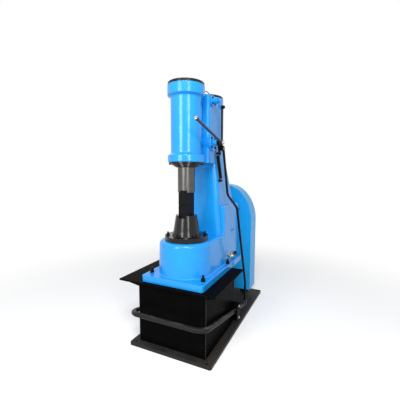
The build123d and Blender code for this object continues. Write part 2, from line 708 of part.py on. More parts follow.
def lower_valve_crank():
    shape = crank(LOWER_VALVE_Z, ((CRANK_ARM, CRANK_ANGLE), (SPRING_ARM, SPRING_ANGLE)))
    shape += crosswise(SHAFT_R, (CHEST_HALF / 2 + PART_GAP, ROD_EYE_X), VALVE_Y, LOWER_VALVE_Z)
    pin = (VALVE_Y + PIN_DROP_Y, LOWER_VALVE_Z + PIN_DROP_Z)
    shape += crosswise(PIN_R, (CRANK_X, ROD_EYE_X + ROD_EYE_THICK + LINK_GAP), *pin)
    shape += crosswise(PIN_R, (SPRING_X - SPRING_R, CRANK_X), SPRING_PIN_Y, SPRING_PIN_Z)
    return shape


def upper_valve_crank():
    shape = crank(UPPER_VALVE_Z, ((CRANK_ARM, CRANK_ANGLE),))
    shape += crosswise(SHAFT_R, (CHEST_HALF / 2 + PART_GAP, LINK_X), VALVE_Y, UPPER_VALVE_Z)
    pin = (VALVE_Y + PIN_DROP_Y, UPPER_VALVE_Z + PIN_DROP_Z)
    return shape + crosswise(PIN_R, (CRANK_X, LINK_X + LINK_THICK + LINK_GAP), *pin)


def valve_link():
    """The flat bar that ties the upper crank's pin to the lower one's."""
    y = VALVE_Y + PIN_DROP_Y
    low, high = LOWER_VALVE_Z + PIN_DROP_Z, UPPER_VALVE_Z + PIN_DROP_Z
    width = (LINK_X, LINK_X + LINK_THICK)
    bar = block(width, (y - LINK_WIDTH / 2, y + LINK_WIDTH / 2), (low, high))
    for z in (low, high):
        bar += crosswise(LINK_WIDTH / 2, width, y, z)
    for z in (low, high):
        bar -= crosswise(PIN_R + RUN_FIT, width, y, z)
    return bar


def hand_lever():
    hub = crosswise(LEVER_HUB_R, (ROD_EYE_X, ROD_EYE_X + 2 * LEVER_R), VALVE_Y, LOWER_VALVE_Z)
    grip = LEVER_LENGTH - LEVER_GRIP_LENGTH
    bar = upright(LEVER_R, 0, 0, (0, grip)) + upright(LEVER_GRIP_R, 0, 0, (grip, LEVER_LENGTH))
    bar = Rot(90 - LEVER_RISE, 0, 0) * bar
    return hub + Pos(ROD_EYE_X + LEVER_R, VALVE_Y, LOWER_VALVE_Z) * bar


def return_spring():
    """The closed coil, as a bar, with a thin hook down to the pin at each end."""
    run_y, run_z = SPRING_PIN_Y - ANCHOR_PIN_Y, SPRING_PIN_Z - ANCHOR_PIN_Z
    length = (run_y ** 2 + run_z ** 2) ** 0.5
    coil = upright(SPRING_R, 0, 0, (SPRING_END, length - SPRING_END))
    coil += upright(SPRING_HOOK_R, 0, 0, (ANCHOR_PIN_R + PART_GAP, length - PIN_R - PART_GAP))
    lean = degrees(atan(run_y / run_z))
    return Pos(SPRING_X, ANCHOR_PIN_Y, ANCHOR_PIN_Z) * Rot(-lean, 0, 0) * coil


def spring_anchor():
    face = ANCHOR_FOOT_X + ANCHOR_BOSS_LENGTH
    boss = crosswise(ANCHOR_BOSS_R, (ANCHOR_FOOT_X, face), ANCHOR_PIN_Y, ANCHOR_PIN_Z)
    return boss + crosswise(ANCHOR_PIN_R, (face, SPRING_X + SPRING_R), ANCHOR_PIN_Y, ANCHOR_PIN_Z)


def treadle_frame():
    """Places the treadle's own plane: its origin on the pivot, its Y along the right arm."""
    return Pos(0, PIVOT_Y, PIVOT_Z) * Rot(-TREADLE_SLOPE, 0, 0)


def treadle():
    front = (STAND_FRONT - TREADLE_REACH - PIVOT_Y) / cos(radians(TREADLE_SLOPE))
    path = FilletPolyline(
        (TREADLE_X, TREADLE_REAR, 0),
        (TREADLE_X, front, 0),
        (-TREADLE_X, front, 0),
        (-TREADLE_X, TREADLE_LEFT_TAIL, 0),
        radius=TREADLE_BEND,
    )
    section = Plane(origin=path @ 0, z_dir=path % 0) * (Circle(TREADLE_R) - Circle(TREADLE_R - TREADLE_WALL))
    tube = sweep(section, path=path)
    half = TAB_THICK / 2
    start = TREADLE_REAR - TREADLE_R
    tab = block((TREADLE_X - half, TREADLE_X + half), (TREADLE_REAR, TREADLE_REAR + TAB_LENGTH / 2),
                (-TAB_HEIGHT / 2, TAB_HEIGHT / 2))
    tab += crosswise(TAB_HEIGHT / 2, (TREADLE_X - half, TREADLE_X + half), TREADLE_REAR + TAB_LENGTH / 2, 0)
    plug = lengthwise(TREADLE_R - TREADLE_WALL, TREADLE_X, (start, TREADLE_REAR), 0)
    tube += plug + tab
    for side in (-1, 1):
        span = sorted((side * (TREADLE_X - TREADLE_R), side * (TREADLE_X + TREADLE_R)))
        tube -= crosswise(PIVOT_PIN_R + RUN_FIT, span, 0, 0)
    width = (TREADLE_X - half, TREADLE_X + half)
    tube -= crosswise(PIN_R + RUN_FIT, width, TREADLE_REAR + TAB_LENGTH / 2, 0)
    return treadle_frame() * tube


def treadle_brackets():
    """A bridge on each side of the stand, with the pivot pin that the treadle turns on."""
    outer = TREADLE_X + TREADLE_R + BRACKET_GAP
    length = (PIVOT_Y - BRACKET_AHEAD, STAND_REAR)
    low, high = PIVOT_Z - BRACKET_HEIGHT / 2, PIVOT_Z + BRACKET_HEIGHT / 2
    bridge = block((outer, outer + BRACKET_PLATE), length, (low, high))
    bridge += block((STAND_HALF, outer), length, (low, low + BRACKET_LEG))
    bridge += block((STAND_HALF, outer), length, (high - BRACKET_LEG, high))
    bridge += crosswise(PIVOT_PIN_R, (STAND_HALF, outer), PIVOT_Y, PIVOT_Z)
    return Compound([bridge, mirror(bridge, Plane.YZ)])


def treadle_rod():
    """The bent rod: a fork round the treadle's tab below, an eye on the crank pin above."""
    pin = (VALVE_Y + PIN_DROP_Y, LOWER_VALVE_Z + PIN_DROP_Z)
    eye_x = ROD_EYE_X + ROD_R
    start_z = TAIL_Z + ROD_FORK_HEIGHT
    path = FilletPolyline(
        (TREADLE_X, TAIL_Y, start_z),
        (TREADLE_X, TAIL_Y, TAIL_Z + ROD_LOW_RISE),
        (TREADLE_X, STAND_REAR + ROD_MIDDLE_BEHIND, STAND_TOP + ROD_MIDDLE_RISE),
        (TREADLE_X, VALVE_Y + ROD_ELBOW_BEHIND, LOWER_VALVE_Z - ROD_ELBOW_DROP),
        (eye_x, VALVE_Y + ROD_SHOULDER_BEHIND, LOWER_VALVE_Z - ROD_SHOULDER_DROP),
        (eye_x, pin[0], pin[1] - PIN_R - EYE_SLACK),
        radius=ROD_BEND,
    )
    rod = sweep(Plane(origin=path @ 0, z_dir=path % 0) * Circle(ROD_R), path=path)
    inner = TAB_THICK / 2 + ROD_CHEEK_GAP
    outer = inner + ROD_CHEEK
    depth = (TAIL_Y - EYE_R, TAIL_Y + EYE_R)
    fork = block((TREADLE_X - outer, TREADLE_X + outer), depth, (TAIL_Z, start_z))
    fork += crosswise(EYE_R, (TREADLE_X - outer, TREADLE_X + outer), TAIL_Y, TAIL_Z)
    room = (TAIL_Z - EYE_R, start_z - ROD_CHEEK)
    fork -= block((TREADLE_X - inner, TREADLE_X + inner), depth, room)
    fork += crosswise(PIN_R, (TREADLE_X - outer, TREADLE_X + outer), TAIL_Y, TAIL_Z)
    width = (ROD_EYE_X, ROD_EYE_X + ROD_EYE_THICK)
    eye = crosswise(EYE_R + EYE_SLACK, width, *pin)
    return (rod + fork + eye) - crosswise(PIN_R + EYE_SLACK, width, *pin)


def guard_outline(inset):
    """The guard's front view, a straight-sided sheet box with a round top."""
    half = GUARD_HALF - inset
    bottom = GUARD_BOTTOM + inset
    height = GUARD_SPRING_LINE - bottom
    outline = Pos(GUARD_X, GUARD_SPRING_LINE) * Ellipse(half, GUARD_ARCH - inset)
    box = Pos(GUARD_X, bottom + height / 2) * Rectangle(2 * half, height)
    below = Pos(GUARD_X, bottom - GUARD_ARCH) * Rectangle(2 * half, 2 * GUARD_ARCH)
    return (outline + box) - below


def guard_prism(inset, y):
    return extrude(Plane.XZ.offset(-y[0]) * guard_outline(inset), -(y[1] - y[0]))


def belt_guard():
    rear = GUARD_REAR - GUARD_SHEET
    shell = guard_prism(0, (GUARD_FRONT, rear)) - guard_prism(GUARD_SHEET, (GUARD_FRONT + GUARD_SHEET, rear))
    face = (GUARD_FRONT, GUARD_FRONT + GUARD_SHEET)
    shell -= lengthwise(CRANKSHAFT_R + SHAFT_HOLE_GAP, 0, face, CRANK_Z)
    return shell - lengthwise(MOTOR_SHAFT_R + SHAFT_HOLE_GAP, MOTOR_X, face, MOTOR_Z)


def guard_cover():
    return guard_prism(0, (GUARD_REAR - GUARD_SHEET, GUARD_REAR))


def guard_feet():
    """Two angle feet from the base plate to the underside of the guard."""
    feet = []
    middle = GUARD_FRONT + GUARD_DEPTH / 2
    for x in (GUARD_X - GUARD_FOOT_X, GUARD_X + GUARD_FOOT_X):
        width = (x - GUARD_FOOT_WIDTH / 2, x + GUARD_FOOT_WIDTH / 2)
        web = block(width, (middle, middle + GUARD_FOOT_THICK), (BASE_TOP, GUARD_BOTTOM))
        depth = (middle, middle + GUARD_FOOT_WIDTH)
        web += block(width, depth, (BASE_TOP, BASE_TOP + GUARD_FOOT_THICK))
        web += block(width, depth, (GUARD_BOTTOM - GUARD_FOOT_THICK, GUARD_BOTTOM))
        feet.append(web)
    return Compound(feet)


def guard_stays():
    """Two flat stays from the rear of the crankcase to the front of the guard."""
    height = (STAY_Z, STAY_Z + STAY_WIDTH)
    stays = []
    outer = CRANKCASE_HALF - STAY_INSET
    for x in (-outer, outer - STAY_THICK):
        stays.append(block((x, x + STAY_THICK), (CRANKCASE_REAR, GUARD_FRONT), height))
    return Compound(stays)


def bearing_cover():
    depth = (CRANKCASE_REAR, CRANKCASE_REAR + SHAFT_COVER_THICK)
    cover = lengthwise(SHAFT_COVER_R, 0, depth, CRANK_Z)
    cover = fillet(cover.edges().group_by(Axis.Y)[-1], CAP_EDGE)
    cover += lengthwise(BEARING_R, 0, (depth[1], depth[1] + BEARING_LENGTH), CRANK_Z)
    return cover - lengthwise(CRANKSHAFT_R + RUN_FIT, 0, (depth[0], depth[1] + BEARING_LENGTH), CRANK_Z)


def crankshaft():
    start = CRANKCASE_REAR - CRANKSHAFT_END + PART_GAP
    return lengthwise(CRANKSHAFT_R, 0, (start, GUARD_FRONT + GUARD_SHEET + CRANKSHAFT_END), CRANK_Z)


def motor():
    """The motor's ribbed barrel, end bell, fan cowl, feet and shaft, on one axis."""
    start = MOTOR_COWL_REAR
    front = start + MOTOR_LENGTH
    barrel = lengthwise(MOTOR_R, MOTOR_X, (start, front), MOTOR_Z)
    bell = lengthwise(MOTOR_BELL_R, MOTOR_X, (front, front + MOTOR_BELL), MOTOR_Z)
    bell = fillet(bell.edges().group_by(Axis.Y)[-1], MOTOR_RISE)
    cowl = lengthwise(MOTOR_BELL_R, MOTOR_X, (start - MOTOR_COWL, start), MOTOR_Z)
    cowl = fillet(cowl.edges().group_by(Axis.Y)[0], MOTOR_RISE)
    shaft_end = GUARD_FRONT + GUARD_SHEET + MOTOR_SHAFT_END
    shaft = lengthwise(MOTOR_SHAFT_R, MOTOR_X, (front, shaft_end), MOTOR_Z)
    body = barrel + bell + cowl + shaft
    for side in (-1, 1):
        x = MOTOR_X + side * RAIL_SPREAD
        body += block((x - RAIL_WIDTH / 2, x + RAIL_WIDTH / 2), (start, front),
                      (BASE_TOP + RAIL_HEIGHT, MOTOR_Z))
    return body


def motor_rails():
    length = (MOTOR_COWL_REAR, MOTOR_COWL_REAR + MOTOR_LENGTH)
    rails = []
    for side in (-1, 1):
        x = MOTOR_X + side * RAIL_SPREAD
        width = (x - RAIL_WIDTH / 2, x + RAIL_WIDTH / 2)
        rails.append(block(width, length, (BASE_TOP, BASE_TOP + RAIL_HEIGHT)))
    return Compound(rails)


def terminal_box():
    """The motor's terminal box, on the flank away from the treadle rod."""
    middle = MOTOR_COWL_REAR + MOTOR_LENGTH / 2
    inner = MOTOR_X - RAIL_SPREAD - RAIL_WIDTH / 2
    depth = (middle - TERMINAL_LENGTH / 2, middle + TERMINAL_LENGTH / 2)
    height = (MOTOR_Z - TERMINAL_HEIGHT, MOTOR_Z)
    box = block((inner - TERMINAL_WIDTH, inner), depth, height)
    return fillet(box.edges().filter_by(Axis.X), CAP_EDGE)


def body_side(z):
    """Half of the lower body's width at a height."""
    return BODY_R - (z - FLANGE_TOP) * tan(radians(BODY_DRAFT))


def drain_cock():
    side = body_side(COCK_Z - COCK_HEX_R)
    body = crosswise(COCK_HEX_R, (side, side + COCK_HEX), COCK_Y, COCK_Z)
    middle = side + COCK_HEX + COCK_BODY / 2
    body += crosswise(COCK_R, (side + COCK_HEX, side + COCK_HEX + COCK_BODY), COCK_Y, COCK_Z)
    body += lengthwise(COCK_SPOUT_R, middle, (COCK_Y - COCK_SPOUT, COCK_Y), COCK_Z)
    return body + upright(COCK_STEM_R, middle, COCK_Y, (COCK_Z, COCK_Z + COCK_R + COCK_STEM))


def drain_cock_handle():
    side = body_side(COCK_Z - COCK_HEX_R)
    middle = side + COCK_HEX + COCK_BODY / 2
    low = COCK_Z + COCK_R + COCK_STEM
    width = (middle - COCK_HANDLE_WIDTH / 2, middle + COCK_HANDLE_WIDTH / 2)
    length = (COCK_Y - COCK_STEM_R, COCK_Y + COCK_HANDLE)
    return block(width, length, (low, low + COCK_HANDLE_THICK))


def oil_plug():
    side = body_side(OIL_PLUG_Z - OIL_PLUG_R)
    return crosswise(OIL_PLUG_R, (side, side + OIL_PLUG_LENGTH), OIL_PLUG_Y, OIL_PLUG_Z)


def all_parts():
    parts = {"base_plate": base_plate()}
    parts.update(stand_walls())
    parts["chip_tray"] = chip_tray()
    parts["tray_ribs"] = tray_ribs()
    parts["frame_casting"] = frame_casting()
    parts["front_cylinder_cap"] = front_cylinder_cap()
    parts["front_cap_plug"] = front_cap_plug()
    parts["rear_cylinder_cap"] = rear_cylinder_cap()
    parts["ram_gland"] = ram_gland()
    parts["gland_wiper"] = gland_wiper()
    parts["ram"] = ram()
    parts["upper_die"] = die(DIE_FACE + PART_GAP, RAM_FOOT)
    parts["upper_die_key"] = die_key(RAM_FOOT, RAM_FOOT + ROOT_DEPTH)
    parts["lower_die"] = die(DIE_FACE, CONE_TOP)
    parts["lower_die_key"] = die_key(CONE_TOP, CONE_TOP - ROOT_DEPTH)
    parts["anvil_block"] = anvil_block()
    parts["anvil_studs"] = anvil_studs()
    parts["frame_anchor_nuts"] = frame_anchor_nuts()
    parts["lower_valve_cover"] = valve_cover(LOWER_COVER_R, LOWER_VALVE_Z)
    parts["upper_valve_cover"] = valve_cover(UPPER_COVER_R, UPPER_VALVE_Z)
    parts["lower_valve_crank"] = lower_valve_crank()
    parts["upper_valve_crank"] = upper_valve_crank()
    parts["valve_link"] = valve_link()
    parts["hand_lever"] = hand_lever()
    parts["return_spring"] = return_spring()
    parts["spring_anchor"] = spring_anchor()
    parts["treadle"] = treadle()
    parts["treadle_brackets"] = treadle_brackets()
    parts["treadle_rod"] = treadle_rod()
    parts["belt_guard"] = belt_guard()
    parts["guard_cover"] = guard_cover()
    parts["guard_feet"] = guard_feet()
    parts["guard_stays"] = guard_stays()
    parts["bearing_cover"] = bearing_cover()
    parts["crankshaft"] = crankshaft()
    parts["motor"] = motor()
    parts["motor_rails"] = motor_rails()
    parts["terminal_box"] = terminal_box()
    parts["drain_cock"] = drain_cock()
    parts["drain_cock_handle"] = drain_cock_handle()
    parts["oil_plug"] = oil_plug()
    return parts


os.makedirs("parts", exist_ok=True)
for name, shape in all_parts().items():
    export_step(shape, "parts/" + name + ".step")
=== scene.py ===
import json
from math import asin, atan2, cos, hypot, pi, radians, sin, sqrt

import bmesh
import bpy
from mathutils import Matrix, Vector


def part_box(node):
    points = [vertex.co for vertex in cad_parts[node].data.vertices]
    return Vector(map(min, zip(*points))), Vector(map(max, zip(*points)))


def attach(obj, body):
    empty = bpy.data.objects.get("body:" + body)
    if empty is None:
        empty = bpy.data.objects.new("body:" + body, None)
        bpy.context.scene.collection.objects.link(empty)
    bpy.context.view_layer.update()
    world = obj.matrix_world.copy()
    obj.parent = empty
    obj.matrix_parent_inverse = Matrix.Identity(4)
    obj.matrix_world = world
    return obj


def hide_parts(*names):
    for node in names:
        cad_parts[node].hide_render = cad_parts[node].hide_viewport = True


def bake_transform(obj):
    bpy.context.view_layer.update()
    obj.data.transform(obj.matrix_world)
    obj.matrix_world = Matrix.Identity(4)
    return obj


# A self-contained forging hammer in blue enamel on a black welded stand. Metres, Z up,
# the anvil towards -Y, the valves, lever and treadle rod on the +X side.

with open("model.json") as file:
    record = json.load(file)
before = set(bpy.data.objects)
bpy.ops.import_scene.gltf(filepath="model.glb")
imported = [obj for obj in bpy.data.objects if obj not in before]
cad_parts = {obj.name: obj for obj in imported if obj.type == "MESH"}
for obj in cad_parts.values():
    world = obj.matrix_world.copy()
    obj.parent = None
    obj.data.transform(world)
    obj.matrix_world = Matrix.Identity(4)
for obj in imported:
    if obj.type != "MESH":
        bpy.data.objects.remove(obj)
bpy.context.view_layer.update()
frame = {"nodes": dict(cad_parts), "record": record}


def middle(node):
    """The centre of a CAD node's box."""
    low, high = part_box(node)
    return (low + high) / 2


# Axes of the two cylinders and of the two rotary valves
RAM_Y = middle("ram_gland").y
REAR_Y = middle("rear_cylinder_cap").y
VALVE_Y = middle("lower_valve_cover").y
LOWER_VALVE_Z = middle("lower_valve_cover").z
UPPER_VALVE_Z = middle("upper_valve_cover").z

# The cranks' pins, behind and below their valves
CRANK_ARM = 0.052
CRANK_DIP = radians(43)
PIN_Y = VALVE_Y + CRANK_ARM * cos(CRANK_DIP)
PIN_DROP = CRANK_ARM * sin(CRANK_DIP)
LOWER_PIN = (PIN_Y, LOWER_VALVE_Z - PIN_DROP)
UPPER_PIN = (PIN_Y, UPPER_VALVE_Z - PIN_DROP)

# The return spring, from its anchor to its pin on the lower crank
SPRING_ARM = 0.071
SPRING_DIP = radians(68)
SPRING_X = middle("return_spring").x
SPRING_FOOT = Vector((SPRING_X, middle("spring_anchor").y, middle("spring_anchor").z))
SPRING_HEAD = Vector((SPRING_X, VALVE_Y + SPRING_ARM * cos(SPRING_DIP),
                      LOWER_VALVE_Z - SPRING_ARM * sin(SPRING_DIP)))


# Shader wiring

class Wire:
    """A socket in a node tree. A sign between two wires adds the Math node for it."""

    def __init__(self, tree, socket=None):
        self.tree = tree
        self.socket = socket

    def add(self, kind, settings=None, sockets=None, output=0):
        """Adds a node with its settings, then its values and links, and returns one output if any."""
        node = self.tree.nodes.new("ShaderNode" + kind)
        for name, value in (settings or {}).items():
            setattr(node, name, value)
        for name, value in (sockets or {}).items():
            if isinstance(value, Wire):
                self.tree.links.new(value.socket, node.inputs[name])
            else:
                node.inputs[name].default_value = value
        return Wire(self.tree, node.outputs[output] if node.outputs else None)

    def maths(self, operation, first, second):
        return self.add("Math", {"operation": operation}, {0: first, 1: second})

    def __add__(self, other):
        return self.maths("ADD", self, other)

    def __radd__(self, other):
        return self.maths("ADD", other, self)

    def __sub__(self, other):
        return self.maths("SUBTRACT", self, other)

    def __rsub__(self, other):
        return self.maths("SUBTRACT", other, self)

    def __mul__(self, other):
        return self.maths("MULTIPLY", self, other)

    def __rmul__(self, other):
        return self.maths("MULTIPLY", other, self)

    def between(self, low, high):
        """0 below low, 1 above high and a soft step between them."""
        return self.add("MapRange", {"interpolation_type": "SMOOTHSTEP"},
                        {"Value": self, "From Min": low, "From Max": high})

    def noise(self, scale, detail=3.0, stretch=None):
        """Cloudy grain in the object's own space, squeezed along the axes of stretch."""
        place = self.add("TexCoord", output="Object")
        if stretch:
            place = self.add("Mapping", None, {"Vector": place, "Scale": stretch})
        return self.add("TexNoise", None, {"Vector": place, "Scale": scale, "Detail": detail})

    def tint(self, share, low, high):
        """The colour low where share is 0 and high where it is 1, through the node's colour sockets."""
        return self.add("Mix", {"data_type": "RGBA"}, {0: share, 6: low, 7: high}, 2)

    def soft_edges(self, radius):
        """The normal with its corners rounded to that radius."""
        return self.add("Bevel", {"samples": 6}, {"Radius": radius})

    def edge_share(self, radius):
        """1 on corners sharper than the radius and 0 on open faces."""
        facing = self.add("NewGeometry", output="Normal")
        along = self.add("VectorMath", {"operation": "DOT_PRODUCT"},
                         {0: self.soft_edges(radius), 1: facing}, "Value")
        return (1 - along).between(0.02, 0.25)

    def facing_up(self):
        """1 on faces that look up, where dust and boots come."""
        normal = self.add("NewGeometry", output="Normal")
        split = self.add("SeparateXYZ", None, {"Vector": normal}, "Z")
        return split.between(0.5, 0.95)

    def relief(self, height, depth, normal=None):
        """The normal tilted by a height that is worth depth in metres."""
        sockets = {"Strength": 1.0, "Distance": depth, "Height": height}
        if normal:
            sockets["Normal"] = normal
        return self.add("Bump", None, sockets)


def finish(name, build, **constants):
    """A material. build takes a wire and returns what varies, constants go on the shader."""
    material = bpy.data.materials.new(name)
    material.use_nodes = True
    shader = material.node_tree.nodes["Principled BSDF"]
    start = Wire(material.node_tree)
    for socket, wire in build(start).items():
        material.node_tree.links.new(wire.socket, shader.inputs[socket])
    for socket, value in constants.items():
        shader.inputs[socket.replace("_", " ")].default_value = value
    return material


def rgb(red, green, blue):
    return (red, green, blue, 1.0)


# Finishes

def cast_enamel(start):
    """Thick gloss enamel brushed over a fettled casting."""
    cloud = start.noise(5.0, 4.0)
    colour = start.tint(cloud, rgb(0.008, 0.29, 0.82), rgb(0.013, 0.37, 0.94))
    soot = start.noise(38.0, 5.0).between(0.62, 0.80) * 0.25
    colour = start.tint(soot, colour, rgb(0.004, 0.14, 0.44))
    sand = start.noise(120.0, 3.0) + start.noise(26.0, 2.0) * 2.2
    bump = start.relief(sand, 0.00009, start.soft_edges(0.004))
    return {"Base Color": colour, "Roughness": start.noise(9.0) * 0.06 + 0.15, "Normal": bump}


def sheet_enamel_painted_lighter(start):
    """The same enamel sprayed on sheet steel, its blues painted lighter than the casting's to stand in
    for the stronger light on the guard's face.
    """
    cloud = start.noise(3.0, 3.0)
    # Painted light: these blues are lighter than the casting's so that the guard looks more brightly
    # lit.
    colour = start.tint(cloud, rgb(0.014, 0.38, 0.86), rgb(0.019, 0.44, 0.94))
    waves = start.noise(5.0, 1.0) * 3.0 + start.noise(330.0, 2.0) * 0.03
    bump = start.relief(waves, 0.00035, start.soft_edges(0.002))
    return {"Base Color": colour, "Roughness": start.noise(12.0) * 0.08 + 0.20, "Normal": bump}


def stand_enamel(start):
    """Black enamel on welded plate, rubbed brown at its edges."""
    rub = start.edge_share(0.003) * start.noise(22.0, 5.0).between(0.45, 0.70)
    colour = start.tint(start.noise(14.0, 4.0), rgb(0.0016, 0.0016, 0.0018), rgb(0.0042, 0.0038, 0.0036))
    colour = start.tint(rub * 0.6, colour, rgb(0.055, 0.044, 0.034))
    sheet = start.noise(7.0, 2.0) * 2.0 + start.noise(240.0, 3.0) * 0.12
    bump = start.relief(sheet, 0.00045, start.soft_edges(0.0015))
    return {"Base Color": colour, "Roughness": start.noise(30.0, 4.0) * 0.20 + 0.24, "Normal": bump}


def trodden_plate(start):
    """The base plate: black paint worn to brown steel where boots and scale rub it."""
    patch = start.noise(6.0, 6.0, (1.0, 0.45, 1.0)).between(0.36, 0.62)
    fine = start.noise(85.0, 5.0).between(0.35, 0.70)
    wear = start.facing_up() * patch * (fine * 0.5 + 0.5)
    rim = start.edge_share(0.006)
    colour = start.tint(start.noise(40.0), rgb(0.020, 0.019, 0.0185), rgb(0.034, 0.032, 0.030))
    colour = start.tint(wear * 0.55, colour, rgb(0.070, 0.060, 0.052))
    colour = start.tint(rim * 0.30, colour, rgb(0.085, 0.072, 0.060))
    bump = start.relief(start.noise(160.0, 5.0), 0.00035, start.soft_edges(0.002))
    return {"Base Color": colour, "Roughness": wear * 0.25 + 0.38, "Normal": bump}


def tube_enamel(start):
    """The treadle's tube, polished grey brown on top by boots."""
    rub = start.facing_up() * start.noise(18.0, 5.0, (0.4, 1.0, 1.0)).between(0.38, 0.66)
    colour = start.tint(start.noise(25.0), rgb(0.010, 0.010, 0.0105), rgb(0.020, 0.019, 0.018))
    colour = start.tint(rub * 0.8, colour, rgb(0.11, 0.098, 0.088))
    bump = start.relief(start.noise(210.0, 4.0), 0.00018)
    return {"Base Color": colour, "Roughness": 0.44 - rub * 0.12, "Normal": bump}


def rod_black(start):
    """Blackened bar stock of the rod, link, cranks and spring."""
    colour = start.tint(start.noise(60.0, 4.0), rgb(0.0022, 0.0022, 0.0026), rgb(0.0070, 0.0065, 0.0065))
    colour = start.tint(start.edge_share(0.0012) * 0.3, colour, rgb(0.07, 0.065, 0.06))
    bump = start.relief(start.noise(300.0, 3.0), 0.00010, start.soft_edges(0.0008))
    return {"Base Color": colour, "Roughness": start.noise(70.0) * 0.18 + 0.30, "Normal": bump}


def blued_iron(start):
    """Black glossy finish of the anvil, its ring and the gland."""
    colour = start.tint(start.noise(16.0, 5.0), rgb(0.0020, 0.0022, 0.0028), rgb(0.0060, 0.0060, 0.0070))
    colour = start.tint(start.edge_share(0.002) * 0.30, colour, rgb(0.09, 0.088, 0.088))
    turned_marks = start.noise(5.0, 2.0, (1.0, 1.0, 90.0)) * 0.5 + start.noise(140.0, 4.0) * 0.4
    bump = start.relief(turned_marks, 0.00012, start.soft_edges(0.0015))
    return {"Base Color": colour, "Roughness": start.noise(24.0, 4.0) * 0.12 + 0.13, "Normal": bump}


def ground_ram(start):
    """Ground and polished ram, marked round by the grinding wheel and wiped with oil."""
    marks = start.noise(3.0, 5.0, (1.0, 1.0, 260.0))
    film = start.noise(7.0, 4.0, (1.0, 1.0, 3.0)).between(0.35, 0.75)
    colour = start.tint(marks, rgb(0.085, 0.083, 0.079), rgb(0.150, 0.147, 0.140))
    colour = start.tint(film * 0.5, colour, rgb(0.070, 0.068, 0.062))
    bump = start.relief(marks, 0.00003, start.soft_edges(0.0012))
    return {"Base Color": colour, "Roughness": 0.26 + film * 0.08 + marks * 0.06, "Normal": bump}


def forged_die(start):
    """Hardened die steel under dark forging scale, bright only on its rubbed corners."""
    scale = start.noise(55.0, 6.0)
    colour = start.tint(scale, rgb(0.0040, 0.0038, 0.0042), rgb(0.013, 0.012, 0.012))
    rub = start.edge_share(0.002) * scale.between(0.4, 0.7)
    colour = start.tint(rub * 0.5, colour, rgb(0.10, 0.095, 0.09))
    bump = start.relief(scale + start.noise(210.0, 4.0) * 0.5, 0.00022, start.soft_edges(0.0015))
    return {"Base Color": colour, "Roughness": 0.36 + scale * 0.22, "Normal": bump}


def zinc(start):
    """Bright plated fasteners."""
    colour = start.tint(start.noise(180.0, 4.0), rgb(0.42, 0.42, 0.42), rgb(0.62, 0.62, 0.60))
    bump = start.relief(start.noise(420.0, 3.0), 0.00005, start.soft_edges(0.0006))
    return {"Base Color": colour, "Roughness": start.noise(90.0) * 0.15 + 0.22, "Normal": bump}


def steel_with_painted_blue_reflection(start):
    """The lever's drawn bar: grey steel with a painted blue reflection of the casting in its colour."""
    draw = start.noise(9.0, 4.0, (30.0, 1.0, 8.0))
    # Both colours carry a painted blue reflection of the casting; the grain between them is the bar's
    # own.
    colour = start.tint(draw, rgb(0.022, 0.028, 0.050), rgb(0.060, 0.070, 0.105))
    return {"Base Color": colour, "Roughness": draw * 0.15 + 0.28, "Normal": start.relief(draw, 0.00006)}


def plain_brass(start):
    dull = start.noise(90.0, 5.0)
    colour = start.tint(dull, rgb(0.64, 0.40, 0.11), rgb(0.83, 0.60, 0.24))
    bump = start.relief(start.noise(260.0, 3.0), 0.00006, start.soft_edges(0.0006))
    return {"Base Color": colour, "Roughness": dull * 0.2 + 0.16, "Normal": bump}


def dipped_red(start):
    """Red vinyl dip on the cock's handle."""
    colour = start.tint(start.noise(110.0, 3.0), rgb(0.52, 0.012, 0.010), rgb(0.70, 0.030, 0.022))
    bump = start.relief(start.noise(500.0, 2.0), 0.00006, start.soft_edges(0.001))
    return {"Base Color": colour, "Roughness": start.noise(60.0) * 0.1 + 0.30, "Normal": bump}


def motor_enamel(start):
    """Hammered blue grey paint of the motor."""
    dimple = start.noise(150.0, 2.0)
    colour = start.tint(start.noise(8.0, 4.0), rgb(0.022, 0.085, 0.19), rgb(0.035, 0.12, 0.25))
    bump = start.relief(dimple, 0.00025, start.soft_edges(0.0015))
    return {"Base Color": colour, "Roughness": dimple * 0.15 + 0.28, "Normal": bump}


def weld_metal(start):
    """Weld beads under black paint, bare where the brush missed."""
    bare = start.noise(70.0, 5.0).between(0.60, 0.78)
    colour = start.tint(bare * 0.7, rgb(0.0075, 0.0072, 0.0072), rgb(0.17, 0.16, 0.15))
    bump = start.relief(start.noise(420.0, 3.0), 0.00012)
    return {"Base Color": colour, "Roughness": 0.40 - bare * 0.12, "Normal": bump}


casting_blue = finish("casting_blue", cast_enamel, Specular_IOR_Level=0.44)
# The guard's blue is painted lighter than the casting's, as painted light on its face.
guard_blue_painted_light = finish("guard_blue_painted_light", sheet_enamel_painted_lighter, Specular_IOR_Level=0.15)
stand_black = finish("stand_black", stand_enamel, Specular_IOR_Level=0.008)
plate_worn = finish("plate_worn", trodden_plate, Specular_IOR_Level=0.06)
tube_black = finish("tube_black", tube_enamel, Specular_IOR_Level=0.12)
bar_black = finish("bar_black", rod_black, Specular_IOR_Level=0.10)
anvil_black = finish("anvil_black", blued_iron, Specular_IOR_Level=0.36)
ram_bright = finish("ram_bright", ground_ram, Metallic=1.0)
die_dark = finish("die_dark", forged_die, Specular_IOR_Level=0.06)
zinc_bright = finish("zinc_bright", zinc, Metallic=1.0)
# The lever's finish has a painted blue reflection of the casting in its colour.
lever_steel_painted_reflection = finish("lever_steel_painted_reflection", steel_with_painted_blue_reflection, Metallic=0.5, Specular_IOR_Level=0.2)
cock_brass = finish("cock_brass", plain_brass, Metallic=1.0)
handle_red = finish("handle_red", dipped_red, Specular_IOR_Level=0.4)
motor_blue = finish("motor_blue", motor_enamel, Specular_IOR_Level=0.4)
weld_black = finish("weld_black", weld_metal, Specular_IOR_Level=0.2)

